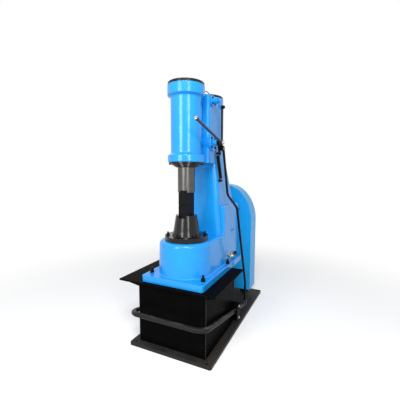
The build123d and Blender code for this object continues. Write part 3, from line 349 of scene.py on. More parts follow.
FINISH_OF_SLOT = {
    "blue_paint": casting_blue, "black_paint": stand_black, "worn_plate": plate_worn,
    "polished_steel": ram_bright, "die_steel": die_dark, "black_oxide": bar_black,
    "motor_paint": motor_blue, "brass": cock_brass, "red_handle": handle_red,
}
FINISH_OF_NODE = {
    "belt_guard": guard_blue_painted_light, "guard_cover": guard_blue_painted_light, "guard_stays": guard_blue_painted_light,
    "treadle": tube_black, "anvil_block": anvil_black, "ram_gland": anvil_black,
    "gland_wiper": anvil_black, "front_cylinder_cap": anvil_black,
    "rear_cylinder_cap": anvil_black, "upper_valve_crank": casting_blue,
}


def dress_frame():
    """Gives every CAD node its finish."""
    slots = {row["node"]: row["material_slot"] for row in frame["record"]["subparts"]}
    for name, node in frame["nodes"].items():
        node.data.materials.clear()
        node.data.materials.append(FINISH_OF_NODE.get(name) or FINISH_OF_SLOT[slots[name]])


# Shaping

def pointing(place, direction):
    """Stands a shape made along Z on a place, facing a direction."""
    turn = Vector(direction).to_track_quat("Z", "Y").to_matrix().to_4x4()
    return Matrix.Translation(place) @ turn


def spun(outline, steps, closed=False):
    """A shape spun round Z from (radius, height) points. An open outline starts and ends on Z."""
    bm = bmesh.new()
    verts = [bm.verts.new((radius, 0, height)) for radius, height in outline]
    edges = [bm.edges.new(pair) for pair in zip(verts, verts[1:])]
    if closed:
        edges.append(bm.edges.new((verts[-1], verts[0])))
    bmesh.ops.spin(bm, geom=verts + edges, axis=(0, 0, 1), angle=2 * pi, steps=steps, use_merge=True)
    bmesh.ops.remove_doubles(bm, verts=bm.verts, dist=1e-7)
    bmesh.ops.recalc_face_normals(bm, faces=bm.faces)
    return bm


def slab(low, high, edge=0.0):
    """A block between two corners, with rounded edges."""
    bm = bmesh.new()
    low, high = Vector(low), Vector(high)
    bmesh.ops.create_cube(bm, size=1.0)
    bmesh.ops.scale(bm, vec=high - low, verts=bm.verts)
    bmesh.ops.translate(bm, vec=(low + high) / 2, verts=bm.verts)
    if edge:
        rounded(bm, bm.edges[:], edge)
    return bm


def rounded(bm, edges, width, segments=3):
    bmesh.ops.bevel(bm, geom=edges, offset=width, offset_type="OFFSET", segments=segments,
                    profile=0.5, affect="EDGES", material=-1)


def prism(radius, height, edge):
    """An upright hexagonal bar, its far end chamfered."""
    bm = bmesh.new()
    bmesh.ops.create_cone(bm, cap_ends=True, segments=6, radius1=radius, radius2=radius, depth=height)
    bmesh.ops.translate(bm, vec=(0, 0, height / 2), verts=bm.verts)
    top = [e for e in bm.edges if min(v.co.z for v in e.verts) > height * 0.99]
    rounded(bm, top, edge, 2)
    return bm


def moved(bm, place):
    bmesh.ops.transform(bm, matrix=place, verts=bm.verts)
    return bm


def raised(bm, height):
    return moved(bm, Matrix.Translation((0, 0, height)))


def joined(*shapes):
    """One mesh that holds several closed shapes."""
    bm = bmesh.new()
    for shape in shapes:
        mesh = bpy.data.meshes.new("shape")
        shape.to_mesh(mesh)
        shape.free()
        bm.from_mesh(mesh)
        bpy.data.meshes.remove(mesh)
    return bm


def repeated(shape, places):
    """The same shape at each place."""
    mesh = bpy.data.meshes.new("shape")
    shape.to_mesh(mesh)
    shape.free()
    bm = bmesh.new()
    for place in places:
        copy = mesh.copy()
        copy.transform(place)
        bm.from_mesh(copy)
        bpy.data.meshes.remove(copy)
    bpy.data.meshes.remove(mesh)
    return bm


def piece(name, bm, body, material, stands_for=(), sharp=32):
    """Hands over a finished shape: shaded, painted, and riding on its body."""
    for face in bm.faces:
        face.smooth = True
    for edge in bm.edges:
        edge.smooth = edge.calc_face_angle(0.0) < radians(sharp)
    mesh = bpy.data.meshes.new(name)
    bm.to_mesh(mesh)
    bm.free()
    made = bpy.data.objects.new(name, mesh)
    bpy.context.scene.collection.objects.link(made)
    mesh.materials.append(material)
    if body:
        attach(made, body)
    if stands_for:
        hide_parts(*stands_for)
    return made


def plated(name, bm, body="frame"):
    """A bright plated fitting."""
    return piece(name, bm, body, zinc_bright)


def tube(name, points, radius, body, material):
    """A bent pipe along a smooth line."""
    curve = bpy.data.curves.new(name, "CURVE")
    curve.dimensions = "3D"
    curve.bevel_depth = radius
    curve.bevel_resolution = 4
    curve.resolution_u = 10
    curve.use_fill_caps = True
    line = curve.splines.new("NURBS")
    line.points.add(len(points) - 1)
    for point, place in zip(line.points, points):
        point.co = (*place, 1.0)
    line.order_u = 3
    line.use_endpoint_u = True
    made = bpy.data.objects.new(name, curve)
    bpy.context.scene.collection.objects.link(made)
    curve.materials.append(material)
    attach(made, body)
    return made


# Fasteners

def washer(radius, bore, thick):
    edge = thick * 0.25
    outline = [(bore, 0), (radius, 0), (radius, thick - edge), (radius - edge, thick), (bore, thick)]
    return spun(outline, 24, closed=True)


def hex_bolt(radius):
    """A hex head with its domed top, on a washer."""
    seat, tall, lap = radius * 0.2, radius * 0.72, radius * 0.005
    head = prism(radius, tall, radius * 0.10)
    crown = spun([(0, 0), (radius * 0.62, 0), (radius * 0.5, radius * 0.06), (0, radius * 0.08)], 18)
    return joined(washer(radius * 1.18, radius * 0.4, seat), raised(head, seat),
                  raised(crown, seat + tall - lap))


def flat_nut(radius, height, washer_radius):
    """A thin hex nut on its washer."""
    seat, bore = 0.0015, 0.006
    return joined(washer(washer_radius, bore, seat), raised(prism(radius, height, 0.001), seat))


def threaded(radius, low, high, pitch):
    """A stud's threaded length with a chamfered end."""
    outline = [(0, low)]
    turns = int((high - low - pitch) / pitch)
    for turn in range(turns):
        z = low + turn * pitch
        outline += [(radius, z), (radius * 0.88, z + pitch / 2)]
    outline += [(radius, low + turns * pitch), (radius * 0.8, high), (0, high)]
    return spun(outline, 18)


def stud_and_nut(nut_radius, nut_height, stud_radius, reach):
    """A threaded stud that stands out of its nut and washer."""
    seat, pitch = nut_height * 0.2, 0.00175
    nut = prism(nut_radius, nut_height - seat, nut_radius * 0.09)
    return joined(washer(nut_radius, stud_radius * 0.9, seat), raised(nut, seat),
                  threaded(stud_radius, nut_height * 0.9, reach, pitch))


def cap_screw(radius):
    """A low round head with a socket in it."""
    socket, bottom, top = radius * 0.45, radius * 0.25, radius * 0.6
    return spun([(0, bottom), (socket, bottom), (socket, top), (radius * 0.85, top),
                 (radius, radius * 0.42), (radius, 0), (0, 0)], 20)


def snap_ring():
    """A snap ring with a short lug, that holds a washer on its pin."""
    bore, radius, lug, thick = 0.0052, 0.0076, 0.0086, 0.0010
    ring = spun([(bore, 0), (radius, 0), (radius, thick), (bore, thick)], 20, closed=True)
    return joined(ring, slab((0.0070, -0.0020, 0), (lug, 0.0020, thick), 0.0003))


def ring_of(count, radius, first):
    """Points on a circle in the XY plane, from the turn first on."""
    turns = [first + 2 * pi * k / count for k in range(count)]
    return [(radius * cos(turn), radius * sin(turn)) for turn in turns]


# Stand and casting

def weld(name, runs, size):
    """Weld beads: overlapping ripples laid along straight runs."""
    ripple = bmesh.new()
    bmesh.ops.create_icosphere(ripple, subdivisions=1, radius=1.0)
    bmesh.ops.scale(ripple, vec=(size, size, size * 0.8), verts=ripple.verts)
    places = []
    for start, end in runs:
        start, end = Vector(start), Vector(end)
        count = int((end - start).length / (size * 0.9))
        for step in range(count + 1):
            along = start.lerp(end, step / count)
            sway = 0.10 * size * sin(step * 2.3)
            places.append(pointing(along + Vector((sway, sway, 0)), end - start))
    piece(name, repeated(ripple, places), "frame", weld_black, sharp=60)


def stand_welds():
    """Beads round the stand's foot and top and down its four corners."""
    low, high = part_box("stand_front_wall")
    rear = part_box("stand_rear_wall")[1].y
    buried = 0.001
    foot, top = low.z + buried, high.z - buried
    corners = [(low.x, low.y), (high.x, low.y), (high.x, rear), (low.x, rear)]
    around = list(zip(corners, corners[1:] + corners[:1]))
    weld("stand_foot_weld", [((*a, foot), (*b, foot)) for a, b in around], 0.0042)
    weld("stand_top_weld", [((*a, top), (*b, top)) for a, b in around], 0.0034)
    inset = 0.0006
    uprights = []
    for x, y in corners:
        x += inset if x < 0 else -inset
        y += inset if y == low.y else -inset
        uprights.append(((x, y, foot), (x, y, top)))
    weld("stand_corner_weld", uprights, 0.0028)


def valve_bolts():
    """Hex bolts round the covers of the two rotary valves."""
    cover_thick = 0.013
    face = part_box("lower_valve_cover")[0].x + cover_thick
    for name, z, circle, size in (("lower", LOWER_VALVE_Z, 0.0405, 0.0066),
                                  ("upper", UPPER_VALVE_Z, 0.0268, 0.0052)):
        places = [pointing((face, VALVE_Y + a, z + b), (1, 0, 0)) for a, b in ring_of(4, circle, pi / 4)]
        piece(name + "_cover_bolts", repeated(hex_bolt(size), places), "frame", bar_black)


def gland_bolts():
    """Bolts under the gland's widest step."""
    low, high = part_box("ram_gland")
    circle, steps = 0.101, 3
    under = high.z - (high.z - low.z) / steps
    places = [pointing((a, RAM_Y + b, under), (0, 0, -1)) for a, b in ring_of(6, circle, pi / 6)]
    piece("gland_bolts", repeated(hex_bolt(0.0065), places), "frame", anvil_black)


def anvil_fasteners():
    """Studs and nuts that hold the anvil's ring."""
    low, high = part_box("anvil_studs")
    circle = 0.118
    places = [pointing((a, RAM_Y + b, low.z), (0, 0, 1)) for a, b in ring_of(6, circle, pi / 6)]
    stud = stud_and_nut(0.011, 0.010, 0.006, high.z - low.z)
    piece("anvil_studs_and_nuts", repeated(stud, places), "frame", bar_black,
          ["anvil_studs"])


def anchor_fasteners():
    """Studs and nuts through the casting's flange: a narrow front pair and a wide rear one."""
    low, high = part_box("frame_anchor_nuts")
    nut_corner, from_side = 0.012, 0.031
    nut_flat = nut_corner * cos(pi / 6)
    front_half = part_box("frame_casting")[1].x - from_side
    rear_half = high.x - nut_corner
    places = []
    for y, half in ((low.y + nut_flat, front_half), (high.y - nut_flat, rear_half)):
        places += [pointing((x, y, low.z), (0, 0, 1)) for x in (-half, half)]
    stud = stud_and_nut(0.0130, 0.018, 0.0075, high.z - low.z)
    piece("anchor_studs_and_nuts", repeated(stud, places), "frame", bar_black,
          ["frame_anchor_nuts"])


def cap_plug():
    """The hex vent plug on the front cylinder's cap."""
    low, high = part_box("front_cap_plug")
    centre = middle("front_cap_plug")
    tall, seat, button = high.z - low.z, 0.002, 0.0055
    hexagon = raised(prism(0.0112, tall - 0.005, 0.001), seat)
    crown = spun([(0, tall - 0.004), (button, tall - 0.004), (button, tall - 0.0008),
                  (button - 0.001, tall), (0, tall)], 18)
    plug = joined(washer(0.0128, 0.006, seat), hexagon, crown)
    piece("cap_vent_plug", moved(plug, Matrix.Translation((centre.x, centre.y, low.z))), "frame",
          zinc_bright, ["front_cap_plug"])


def cap_screws():
    """Socket screws sunk into the two cylinder caps."""
    sunk = 0.003
    for name, y, circle in (("front", RAM_Y, 0.098), ("rear", REAR_Y, 0.096)):
        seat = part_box(name + "_cylinder_cap")[1].z - sunk
        places = [pointing((a, y + b, seat), (0, 0, 1)) for a, b in ring_of(6, circle, pi / 6)]
        piece(name + "_cap_screws", repeated(cap_screw(0.0065), places), "frame", bar_black)


# Valve linkage

def linkage_hardware():
    """Nuts on the valve shafts, the knob on the link's top pin and the clip on its lower one."""
    nut_gap, knob_gap, clip_gap = 0.0001, 0.0004, 0.0002
    nut = flat_nut(0.0112, 0.005, 0.0140)
    hub_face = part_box("hand_lever")[1].x
    nut = moved(nut, pointing((hub_face, VALVE_Y, LOWER_VALVE_Z), (1, 0, 0)))
    plated("lever_hub_nut", nut, "lower_crank")
    link_inside, link_outside = (corner.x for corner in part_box("valve_link"))
    nut = moved(flat_nut(0.0098, 0.006, 0.0125),
                pointing((link_inside + nut_gap, VALVE_Y, UPPER_VALVE_Z), (1, 0, 0)))
    piece("upper_shaft_nut", nut, "upper_crank", casting_blue)
    knob = spun([(0, 0), (0.0105, 0), (0.0112, 0.0008), (0.0112, 0.0075), (0.0092, 0.0120),
                 (0.0050, 0.0148), (0, 0.0155)], 28)
    piece("upper_link_knob", moved(knob, pointing((link_outside + knob_gap, *UPPER_PIN), (1, 0, 0))),
          "upper_crank", bar_black)
    eye_thick, seat = 0.010, 0.0012
    eye_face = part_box("treadle_rod")[0].x + eye_thick + clip_gap
    clip = joined(washer(0.0086, 0.0058, seat), raised(snap_ring(), seat))
    plated("lower_link_clip", moved(clip, pointing((eye_face, *LOWER_PIN), (1, 0, 0))), "lower_crank")


def lever():
    """The hand lever: turned hub, drawn bar and a bright crowned end."""
    rise, lap = radians(13.4), 0.0001
    way = Vector((0, -cos(rise), sin(rise)))
    root = Vector((middle("hand_lever").x, VALVE_Y, LOWER_VALVE_Z))
    bar_radius, hub_radius, hub_thick, edge = 0.008, 0.018, 0.016, 0.0015
    grip_start, grip_end, grip_radius = 0.350, 0.3745, 0.010
    hub = spun([(0, 0), (hub_radius - edge, 0), (hub_radius, edge), (hub_radius, hub_thick - edge),
                (hub_radius - edge, hub_thick), (0, hub_thick)], 36)
    hub = moved(hub, pointing(root - Vector((hub_thick / 2, 0, 0)), (1, 0, 0)))
    bar = spun([(0, 0.0), (bar_radius, 0.0), (bar_radius, grip_start), (0.0085, 0.352), (0.0098, 0.3535),
                (grip_radius, 0.356), (grip_radius, grip_end), (0, grip_end)], 28)
    piece("lever_bar", joined(hub, moved(bar, pointing(root, way))), "lower_crank", lever_steel_painted_reflection,
          ["hand_lever"])
    end = spun([(0, 0), (0.0098, 0), (0.0098, 0.0012), (0.0085, 0.0030), (0.0045, 0.0036),
                (0, 0.0036)], 28)
    plated("lever_end", moved(end, pointing(root + way * (grip_end - lap), way)), "lower_crank")


def oil_line():
    """The thin steel pipe from the front collar to the rear cylinder's top."""
    start = Vector((0.086, RAM_Y + 0.0765, 1.590))
    end = Vector((0.077, REAR_Y - 0.0815, 1.592))
    points = [start, start + Vector((0.010, 0.012, 0.004)), start + Vector((0.012, 0.045, -0.004)),
              end + Vector((0.016, -0.050, -0.008)), end + Vector((0.012, -0.014, 0.004)), end]
    tube("oil_line", points, 0.0025, "frame", bar_black)
    places = [pointing(start + Vector((-0.004, -0.004, -0.001)), (0.75, 0.66, 0)),
              pointing(end + Vector((-0.004, 0.005, -0.001)), (0.70, -0.71, 0))]
    piece("oil_line_unions", repeated(prism(0.0065, 0.011, 0.0008), places), "frame", cock_brass)


# Return spring. Its coil joins the fixed anchor to a pin that swings with the lower crank.
# It is built in lengths, and for each length the share of that swing it would follow is worked out.

SWING = radians(51)
CRANK_CENTRE = Vector((SPRING_X, VALVE_Y, LOWER_VALVE_Z))
WIRE = 0.0021
COIL_RADIUS = 0.0093
COIL_END = 0.0165
COIL_TURNS = 34


def swung_share(t):
    """How much of the crank's swing the spring's point at t follows, so that it stays on the line."""
    rest = SPRING_FOOT.lerp(SPRING_HEAD, t) - CRANK_CENTRE
    near = SPRING_FOOT - CRANK_CENTRE
    arm = SPRING_HEAD - CRANK_CENTRE
    far = Vector((0, arm.y * cos(SWING) - arm.z * sin(SWING), arm.y * sin(SWING) + arm.z * cos(SWING)))
    run = far - near
    # Where the stretched spring's line is as far from the crank's centre as the point is at rest
    a = run.y ** 2 + run.z ** 2
    b = 2 * (near.y * run.y + near.z * run.z)
    c = near.y ** 2 + near.z ** 2 - hypot(rest.y, rest.z) ** 2
    at = (-b - sqrt(max(0.0, b * b - 4 * a * c))) / (2 * a)
    there = near + run * min(1.0, max(0.0, at))
    return (atan2(there.z, there.y) - atan2(rest.z, rest.y)) / SWING


def step_at(share):
    """Where a smooth step from 0 to 1 has that value."""
    return 0.5 - sin(asin(1 - 2 * min(1.0, max(0.0, share))) / 3)


def spring_length(name, bm, first, last):
    """One length of the spring, from first to last of its whole run."""
    made = piece(name, bm, None, bar_black, ["return_spring"], sharp=50)
    low, high = step_at(swung_share(first)), step_at(swung_share(last))
    whole = (last - first) / (high - low)
    start = first - low * whole
    SPRING_FOOT.lerp(SPRING_HEAD, start + whole)
    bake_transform(made)


def wire_round(radius, height=0.0):
    """A round of the spring's wire, on edge at that distance from Z."""
    bm = bmesh.new()
    bmesh.ops.create_circle(bm, cap_ends=False, radius=WIRE, segments=8)
    bmesh.ops.rotate(bm, matrix=Matrix.Rotation(pi / 2, 3, "X"), verts=bm.verts)
    bmesh.ops.translate(bm, vec=(radius, 0, height), verts=bm.verts)
    return bm


def coil(low, high, pitch):
    """The coil from turn low to turn high, closed at both ends."""
    bm = wire_round(COIL_RADIUS, COIL_END + low * pitch)
    turns, steps = high - low, 20
    bmesh.ops.spin(bm, geom=bm.verts[:] + bm.edges[:], axis=(0, 0, 1), dvec=(0, 0, pitch / steps),
                   angle=2 * pi * turns, steps=steps * turns)
    bmesh.ops.holes_fill(bm, edges=[e for e in bm.edges if e.is_boundary], sides=0)
    bmesh.ops.recalc_face_normals(bm, faces=bm.faces)
    return bm


def hook_eye(pin_radius):
    """The closed eye that hangs on a pin."""
    bm = wire_round(pin_radius + WIRE + 0.0002)
    bmesh.ops.spin(bm, geom=bm.verts[:] + bm.edges[:], axis=(0, 0, 1), angle=2 * pi, steps=28,
                   use_merge=True)
    bmesh.ops.recalc_face_normals(bm, faces=bm.faces)
    return bm


def spring():
    """The return spring: coil, two eyes and the straight wire between them."""
    run = SPRING_HEAD - SPRING_FOOT
    length = run.length
    stand = Matrix.Translation(SPRING_FOOT) @ run.to_track_quat("Z", "X").to_matrix().to_4x4()
    pitch = (length - 2 * COIL_END) / COIL_TURNS
    cuts = (0, 8, 15, 21, 26, 30, COIL_TURNS)
    for number, (low, high) in enumerate(zip(cuts, cuts[1:])):
        spring_length("spring_coil_%d" % (number + 1), moved(coil(low, high, pitch), stand),
                      (COIL_END + low * pitch) / length, (COIL_END + high * pitch) / length)
    for name, centre, pin_radius, body in (("lower", SPRING_FOOT, 0.005, "frame"),
                                           ("upper", SPRING_HEAD, 0.006, "lower_crank")):
        eye = moved(hook_eye(pin_radius), pointing(centre, (1, 0, 0)))
        piece("spring_%s_eye" % name, eye, body, bar_black, sharp=50)
    reach, plate, rim = 0.0075, 0.0030, 0.0012
    outside = COIL_RADIUS + WIRE
    lower = spun([(0, reach), (WIRE, reach), (WIRE, COIL_END), (outside, COIL_END + rim),
                  (outside, COIL_END + plate), (0, COIL_END + plate)], 16)
    spring_length("spring_lower_leg", moved(lower, stand), reach / length, (COIL_END + plate) / length)
    top, tip = length - COIL_END, length - reach - 0.001
    upper = spun([(0, top - plate), (outside, top - plate), (outside, top - rim), (WIRE, top),
                  (WIRE, tip), (0, tip)], 16)
    spring_length("spring_upper_leg", moved(upper, stand), (top - plate) / length, 1.0)


# Treadle, drain and oil plug

def bracket_bolts():
    """Two hex bolts through each treadle bracket, outside the stand."""
    low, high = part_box("treadle_brackets")
    y, from_end = middle("treadle_brackets").y, 0.009
    places = [pointing((x, y, z), (side, 0, 0))
              for side, x in ((1, high.x), (-1, low.x)) for z in (low.z + from_end, high.z - from_end)]
    plated("bracket_bolts", repeated(hex_bolt(0.0070), places))


def drain():
    """The brass drain cock: hex, turned body, bent spout, and its red handle."""
    low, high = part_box("drain_cock")
    hex_radius, spout_length, out = 0.012, 0.042, 0.021
    length = high.x - low.x
    y, z = low.y + spout_length, low.z + hex_radius
    axis = low.x + out
    body = spun([(0, 0.007), (0.0075, 0.007), (0.0075, 0.010), (0.0092, 0.0125), (0.0092, 0.028),
                 (0.0075, 0.031), (0.0060, length), (0, length)], 28)
    body = moved(joined(prism(hex_radius, 0.008, 0.0012), body), pointing((low.x, y, z), (1, 0, 0)))
    spout = spun([(0, 0), (0.0062, 0), (0.0062, 0.012), (0.0045, 0.014), (0.0040, 0.036),
                  (0.0052, 0.038), (0.0052, spout_length), (0.0026, spout_length), (0.0026, 0.034),
                  (0, 0.034)], 24)
    stem = spun([(0, 0), (0.0062, 0), (0.0062, 0.013), (0.0040, 0.015), (0.0040, 0.0232),
                 (0, 0.0232)], 24)
    cock = joined(body, moved(spout, pointing((axis, y, z), (0, -1, 0))),
                  moved(stem, pointing((axis, y, z), (0, 0, 1))))
    piece("drain_cock_body", cock, "frame", cock_brass, ["drain_cock"])

    blade_low, blade_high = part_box("drain_cock_handle")
    thick, thinned, corner, edge = blade_high.z - blade_low.z, 0.75, 0.0040, 0.0009
    blade = slab(blade_low, blade_high)
    tip = [v for v in blade.verts if v.co.y > y]
    bmesh.ops.scale(blade, vec=(1.0, 1.0, thinned), verts=tip,
                    space=Matrix.Translation((-axis, -y, -blade_low.z)))
    upright = [e for e in blade.edges if abs(e.verts[0].co.z - e.verts[1].co.z) > thick / 2]
    rounded(blade, upright, corner, 5)
    rounded(blade, [e for e in blade.edges if e.calc_face_angle(0) > 0.6], edge, 2)
    piece("drain_cock_lever", blade, "frame", handle_red, ["drain_cock_handle"])
    nut = moved(prism(0.0042, 0.0026, 0.0004), Matrix.Translation((axis, y, blade_high.z)))
    plated("drain_cock_nut", nut)


def fill_plug():
    """The black oil plug, ribbed round its grip."""
    low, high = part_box("oil_plug")
    centre = middle("oil_plug")
    tall, radius, neck_radius = high.x - low.x, 0.0138, 0.0115
    grip_tall, grip_middle, neck_tall = tall * 0.55, tall * 0.72, tall * 0.46
    grip = bmesh.new()
    bmesh.ops.create_cone(grip, cap_ends=True, segments=24, radius1=radius, radius2=radius,
                          depth=grip_tall)
    bmesh.ops.translate(grip, vec=(0, 0, grip_middle), verts=grip.verts)
    sides = [f for f in grip.faces if abs(f.normal.z) < 0.5][::2]
    bmesh.ops.inset_individual(grip, faces=sides, thickness=0.0004, depth=-0.0008)
    neck = spun([(0, 0), (neck_radius, 0), (neck_radius, neck_tall), (0, neck_tall)], 28)
    plug = moved(joined(neck, grip), pointing((low.x, centre.y, centre.z), (1, 0, 0)))
    piece("oil_fill_plug", plug, "frame", bar_black, ["oil_plug"])


# Drive

def motor_part(name, bm, stands_for=()):
    piece(name, bm, "frame", motor_blue, stands_for)


def motor_pieces():
    """The motor: finned barrel, fan cowl, end bell, feet and shaft."""
    low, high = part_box("motor")
    cowl_length, barrel_length, top_over_axis = 0.045, 0.250, 0.096
    x, z = middle("motor_rails").x, high.z - top_over_axis
    along = pointing((x, 0, z), (0, 1, 0))
    cowl_end, start = low.y, low.y + cowl_length
    end = start + barrel_length
    rim, core, rim_wide, step = 0.091, 0.083, 0.012, 0.002

    barrel = spun([(0, start), (rim, start), (rim, start + rim_wide), (core, start + rim_wide + step),
                   (core, end - rim_wide - step), (rim, end - rim_wide), (rim, end), (0, end)], 48)
    fin = slab((core - 0.003, -0.0012, start + 0.010), (rim + 0.0005, 0.0012, end - 0.010), 0.0008)
    fins = repeated(fin, [Matrix.Rotation(2 * pi * k / 40, 4, "Z") for k in range(40)])
    motor_part("motor_barrel", moved(joined(barrel, fins), along), ["motor"])

    bell_radius, bell_face = 0.0955, end + 0.026
    bell = spun([(0, end), (bell_radius, end), (bell_radius, end + 0.010), (0.088, end + 0.016),
                 (0.060, end + 0.020), (0.038, end + 0.0255), (0.020, bell_face), (0, bell_face)], 48)
    motor_part("motor_end_bell", moved(bell, along))

    groove, land = cowl_end + 0.001, cowl_end + 0.006
    grille = [(0, cowl_end + 0.002)]
    for ring in range(6):
        r = 0.018 + ring * 0.012
        grille += [(r, groove), (r + 0.001, land), (r + 0.006, land), (r + 0.007, groove)]
    grille += [(0.090, cowl_end), (bell_radius, cowl_end + 0.005), (bell_radius, start), (0, start)]
    motor_part("motor_fan_cowl", moved(spun(grille, 48), along))

    shaft = spun([(0, bell_face), (0.014, bell_face), (0.014, high.y - 0.0015), (0.0125, high.y),
                  (0, high.y)], 28)
    plated("motor_shaft", moved(shaft, along))

    foot_top = low.z + 0.012
    feet = []
    webs = []
    for side in (-1, 1):
        foot, web = x + side * 0.075, x + side * 0.068
        feet.append(slab((foot - 0.020, start, low.z), (foot + 0.020, end, foot_top), 0.002))
        for y in (start + 0.025, end - 0.025):
            web_low = (web - 0.006, y - 0.005, low.z + 0.008)
            webs.append(slab(web_low, (web + 0.006, y + 0.005, z - 0.035), 0.002))
    motor_part("motor_feet", joined(*feet, *webs))

    places = [pointing((x + side * 0.085, y, foot_top), (0, 0, 1))
              for side in (-1, 1) for y in (start + 0.050, end - 0.050)]
    plated("motor_foot_bolts", repeated(hex_bolt(0.0075), places))
    places = [along @ Matrix.Translation((a, b, end + 0.0125)) for a, b in ring_of(4, 0.082, pi / 4)]
    plated("motor_bell_bolts", repeated(hex_bolt(0.0050), places))


def connection_box():
    """The motor's terminal box with its lid and screws."""
    low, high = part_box("terminal_box")
    lid_thick, seam, inset, edge = 0.014, 0.0008, 0.002, 0.003
    split = low.x + lid_thick
    lid = slab(low, (split - seam, high.y, high.z), edge)
    box = slab((split, low.y + inset, low.z + inset), (high.x, high.y - inset, high.z - inset), edge)
    motor_part("terminal_box_shell", joined(lid, box), ["terminal_box"])
    from_edge, sunk = 0.011, 0.0012
    places = [pointing((low.x + sunk, y, z), (-1, 0, 0))
              for y in (low.y + from_edge, high.y - from_edge)
              for z in (low.z + from_edge, high.z - from_edge)]
    plated("terminal_box_screws", repeated(cap_screw(0.0035), places))


def guard_screws():
    """Screws round the belt guard's rear cover: its arch, its two sides and its foot."""
    low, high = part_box("guard_cover")
    centre, half = middle("guard_cover").x, (high.x - low.x) / 2
    inset, sunk, arch_foot = 0.016, 0.0035, 0.680
    foot = low.z + inset
    heights, along_foot = (0.540, 0.390, 0.240, foot), (-0.12, 0.03, 0.15)
    across, rise = half - inset, high.z - arch_foot - inset
    arch = [(across * cos(pi * k / 8), arch_foot + rise * sin(pi * k / 8)) for k in range(9)]
    sides = [(side * across, z) for z in heights for side in (-1, 1)]
    below = [(x, foot) for x in along_foot]
    places = [pointing((centre + x, high.y - sunk, z), (0, 1, 0)) for x, z in arch + sides + below]
    plated("guard_cover_screws", repeated(cap_screw(0.0060), places))


def drive_bolts():
    """Bolts of the bearing cover and of the guard's feet."""
    flange_thick, circle = 0.016, 0.088
    height = middle("bearing_cover").z
    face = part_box("bearing_cover")[0].y + flange_thick
    places = [pointing((a, face, height + b), (0, 1, 0)) for a, b in ring_of(6, circle, pi / 6)]
    plated("bearing_cover_bolts", repeated(hex_bolt(0.0080), places))
    low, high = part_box("guard_feet")
    foot_thick, from_rear, from_side = 0.006, 0.020, 0.030
    places = [pointing((x, high.y - from_rear, low.z + foot_thick), (0, 0, 1))
              for x in (low.x + from_side, high.x - from_side)]
    plated("guard_foot_bolts", repeated(hex_bolt(0.0085), places))


# Light, floor and camera

def shown(start):
    """1 for rays that show the background: from the camera, a reflection or glass."""
    seen = start.add("LightPath", output="Is Camera Ray")
    for ray in ("Is Glossy Ray", "Is Transmission Ray"):
        seen = seen.maths("MAXIMUM", seen, start.add("LightPath", output=ray))
    return seen


def emptied(owner):
    """A wire into a world's or a material's node tree, cleared of its first nodes."""
    owner.use_nodes = True
    owner.node_tree.nodes.clear()
    return Wire(owner.node_tree)


def surroundings():
    """White all round for what is seen, and a dimmer fill for what is lit."""
    world = bpy.data.worlds.new("studio")
    bpy.context.scene.world = world
    start = emptied(world)
    plain = shown(start)
    fill = start.add("Background", None, {"Color": rgb(0.95, 0.97, 1.0), "Strength": 0.34})
    white = start.add("Background", None, {"Color": rgb(1, 1, 1), "Strength": 1.0})
    mixed = start.add("MixShader", None, {0: plain, 1: fill, 2: white})
    start.add("OutputWorld", None, {"Surface": mixed})


def lamps():
    """Two tall soft lamps that streak the enamel from both sides, and one above the camera."""
    column, hammer = (0, -0.33, 1.30), (0, -0.1, 0.9)
    for name, place, aim, size, power in (
            ("left_strip", (-0.56, -3.48, 1.80), column, (1.00, 1.50), 47.0),
            ("right_strip", (2.30, -2.56, 1.80), column, (0.75, 1.50), 34.0),
            ("front_box", (0.95, -2.35, 3.00), hammer, (1.2, 0.9), 54.0)):
        lamp = bpy.data.lights.new(name, "AREA")
        lamp.shape = "RECTANGLE"
        lamp.size, lamp.size_y = size
        lamp.energy = power
        holder = bpy.data.objects.new(name, lamp)
        bpy.context.scene.collection.objects.link(holder)
        holder.location = place
        holder.rotation_mode = "QUATERNION"
        holder.rotation_quaternion = (Vector(aim) - Vector(place)).to_track_quat("-Z", "Y")


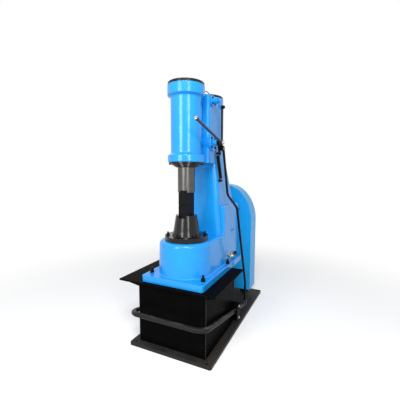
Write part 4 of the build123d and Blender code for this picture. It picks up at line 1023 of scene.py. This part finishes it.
def floor():
    """A pale floor that holds the shadow and turns to plain white away from the hammer."""
    half_size, drop = 30.0, 0.0008
    bm = bmesh.new()
    bmesh.ops.create_grid(bm, x_segments=1, y_segments=1, size=half_size)
    bmesh.ops.translate(bm, vec=(0, 0, -drop), verts=bm.verts)
    mesh = bpy.data.meshes.new("floor")
    bm.to_mesh(mesh)
    bm.free()
    made = bpy.data.objects.new("floor", mesh)
    bpy.context.scene.collection.objects.link(made)
    material = bpy.data.materials.new("floor_pale")
    mesh.materials.append(material)
    start = emptied(material)
    here = start.add("TexCoord", output="Object")
    away = start.add("VectorMath", {"operation": "LENGTH"}, {0: here}, "Value")
    matt = start.add("BsdfDiffuse", None, {"Color": rgb(0.92, 0.92, 0.92)})
    glow = start.add("Emission", None, {"Color": rgb(1, 1, 1), "Strength": shown(start) * 0.55 + 0.45})
    lift = start.add("Emission", None, {"Color": rgb(1, 1, 1), "Strength": shown(start) * 0.30})
    near = start.add("AddShader", None, {0: matt, 1: lift})
    mixed = start.add("MixShader", None, {0: away.between(0.9, 2.6), 1: near, 2: glow})
    start.add("OutputMaterial", None, {"Surface": mixed})


def camera():
    """The photograph's viewpoint: from the right front, a little above the anvil."""
    yaw, pitch, roll = radians(24.902), radians(5.712), 0.0048
    forward = Vector((-sin(yaw) * cos(pitch), cos(yaw) * cos(pitch), -sin(pitch)))
    right = Vector((cos(yaw), sin(yaw), 0))
    up = right.cross(forward)
    across = right * cos(roll) + up * sin(roll)
    high = up * cos(roll) - right * sin(roll)
    turn = Matrix((across, high, -forward)).transposed().to_4x4()
    data = bpy.data.cameras.new("camera")
    data.sensor_width = 36.0
    data.lens = 24.705
    data.shift_x, data.shift_y = -0.0144, 0.00855
    holder = bpy.data.objects.new("camera", data)
    bpy.context.scene.collection.objects.link(holder)
    holder.matrix_world = Matrix.Translation((0.84315, -1.85933, 1.06566)) @ turn
    bpy.context.scene.camera = holder


dress_frame()
stand_welds()
valve_bolts()
gland_bolts()
anvil_fasteners()
anchor_fasteners()
cap_plug()
cap_screws()
linkage_hardware()
lever()
oil_line()
bracket_bolts()
drain()
fill_plug()
spring()
motor_pieces()
connection_box()
guard_screws()
drive_bolts()
surroundings()
lamps()
floor()
camera()
bpy.context.scene.view_settings.view_transform = "Standard"
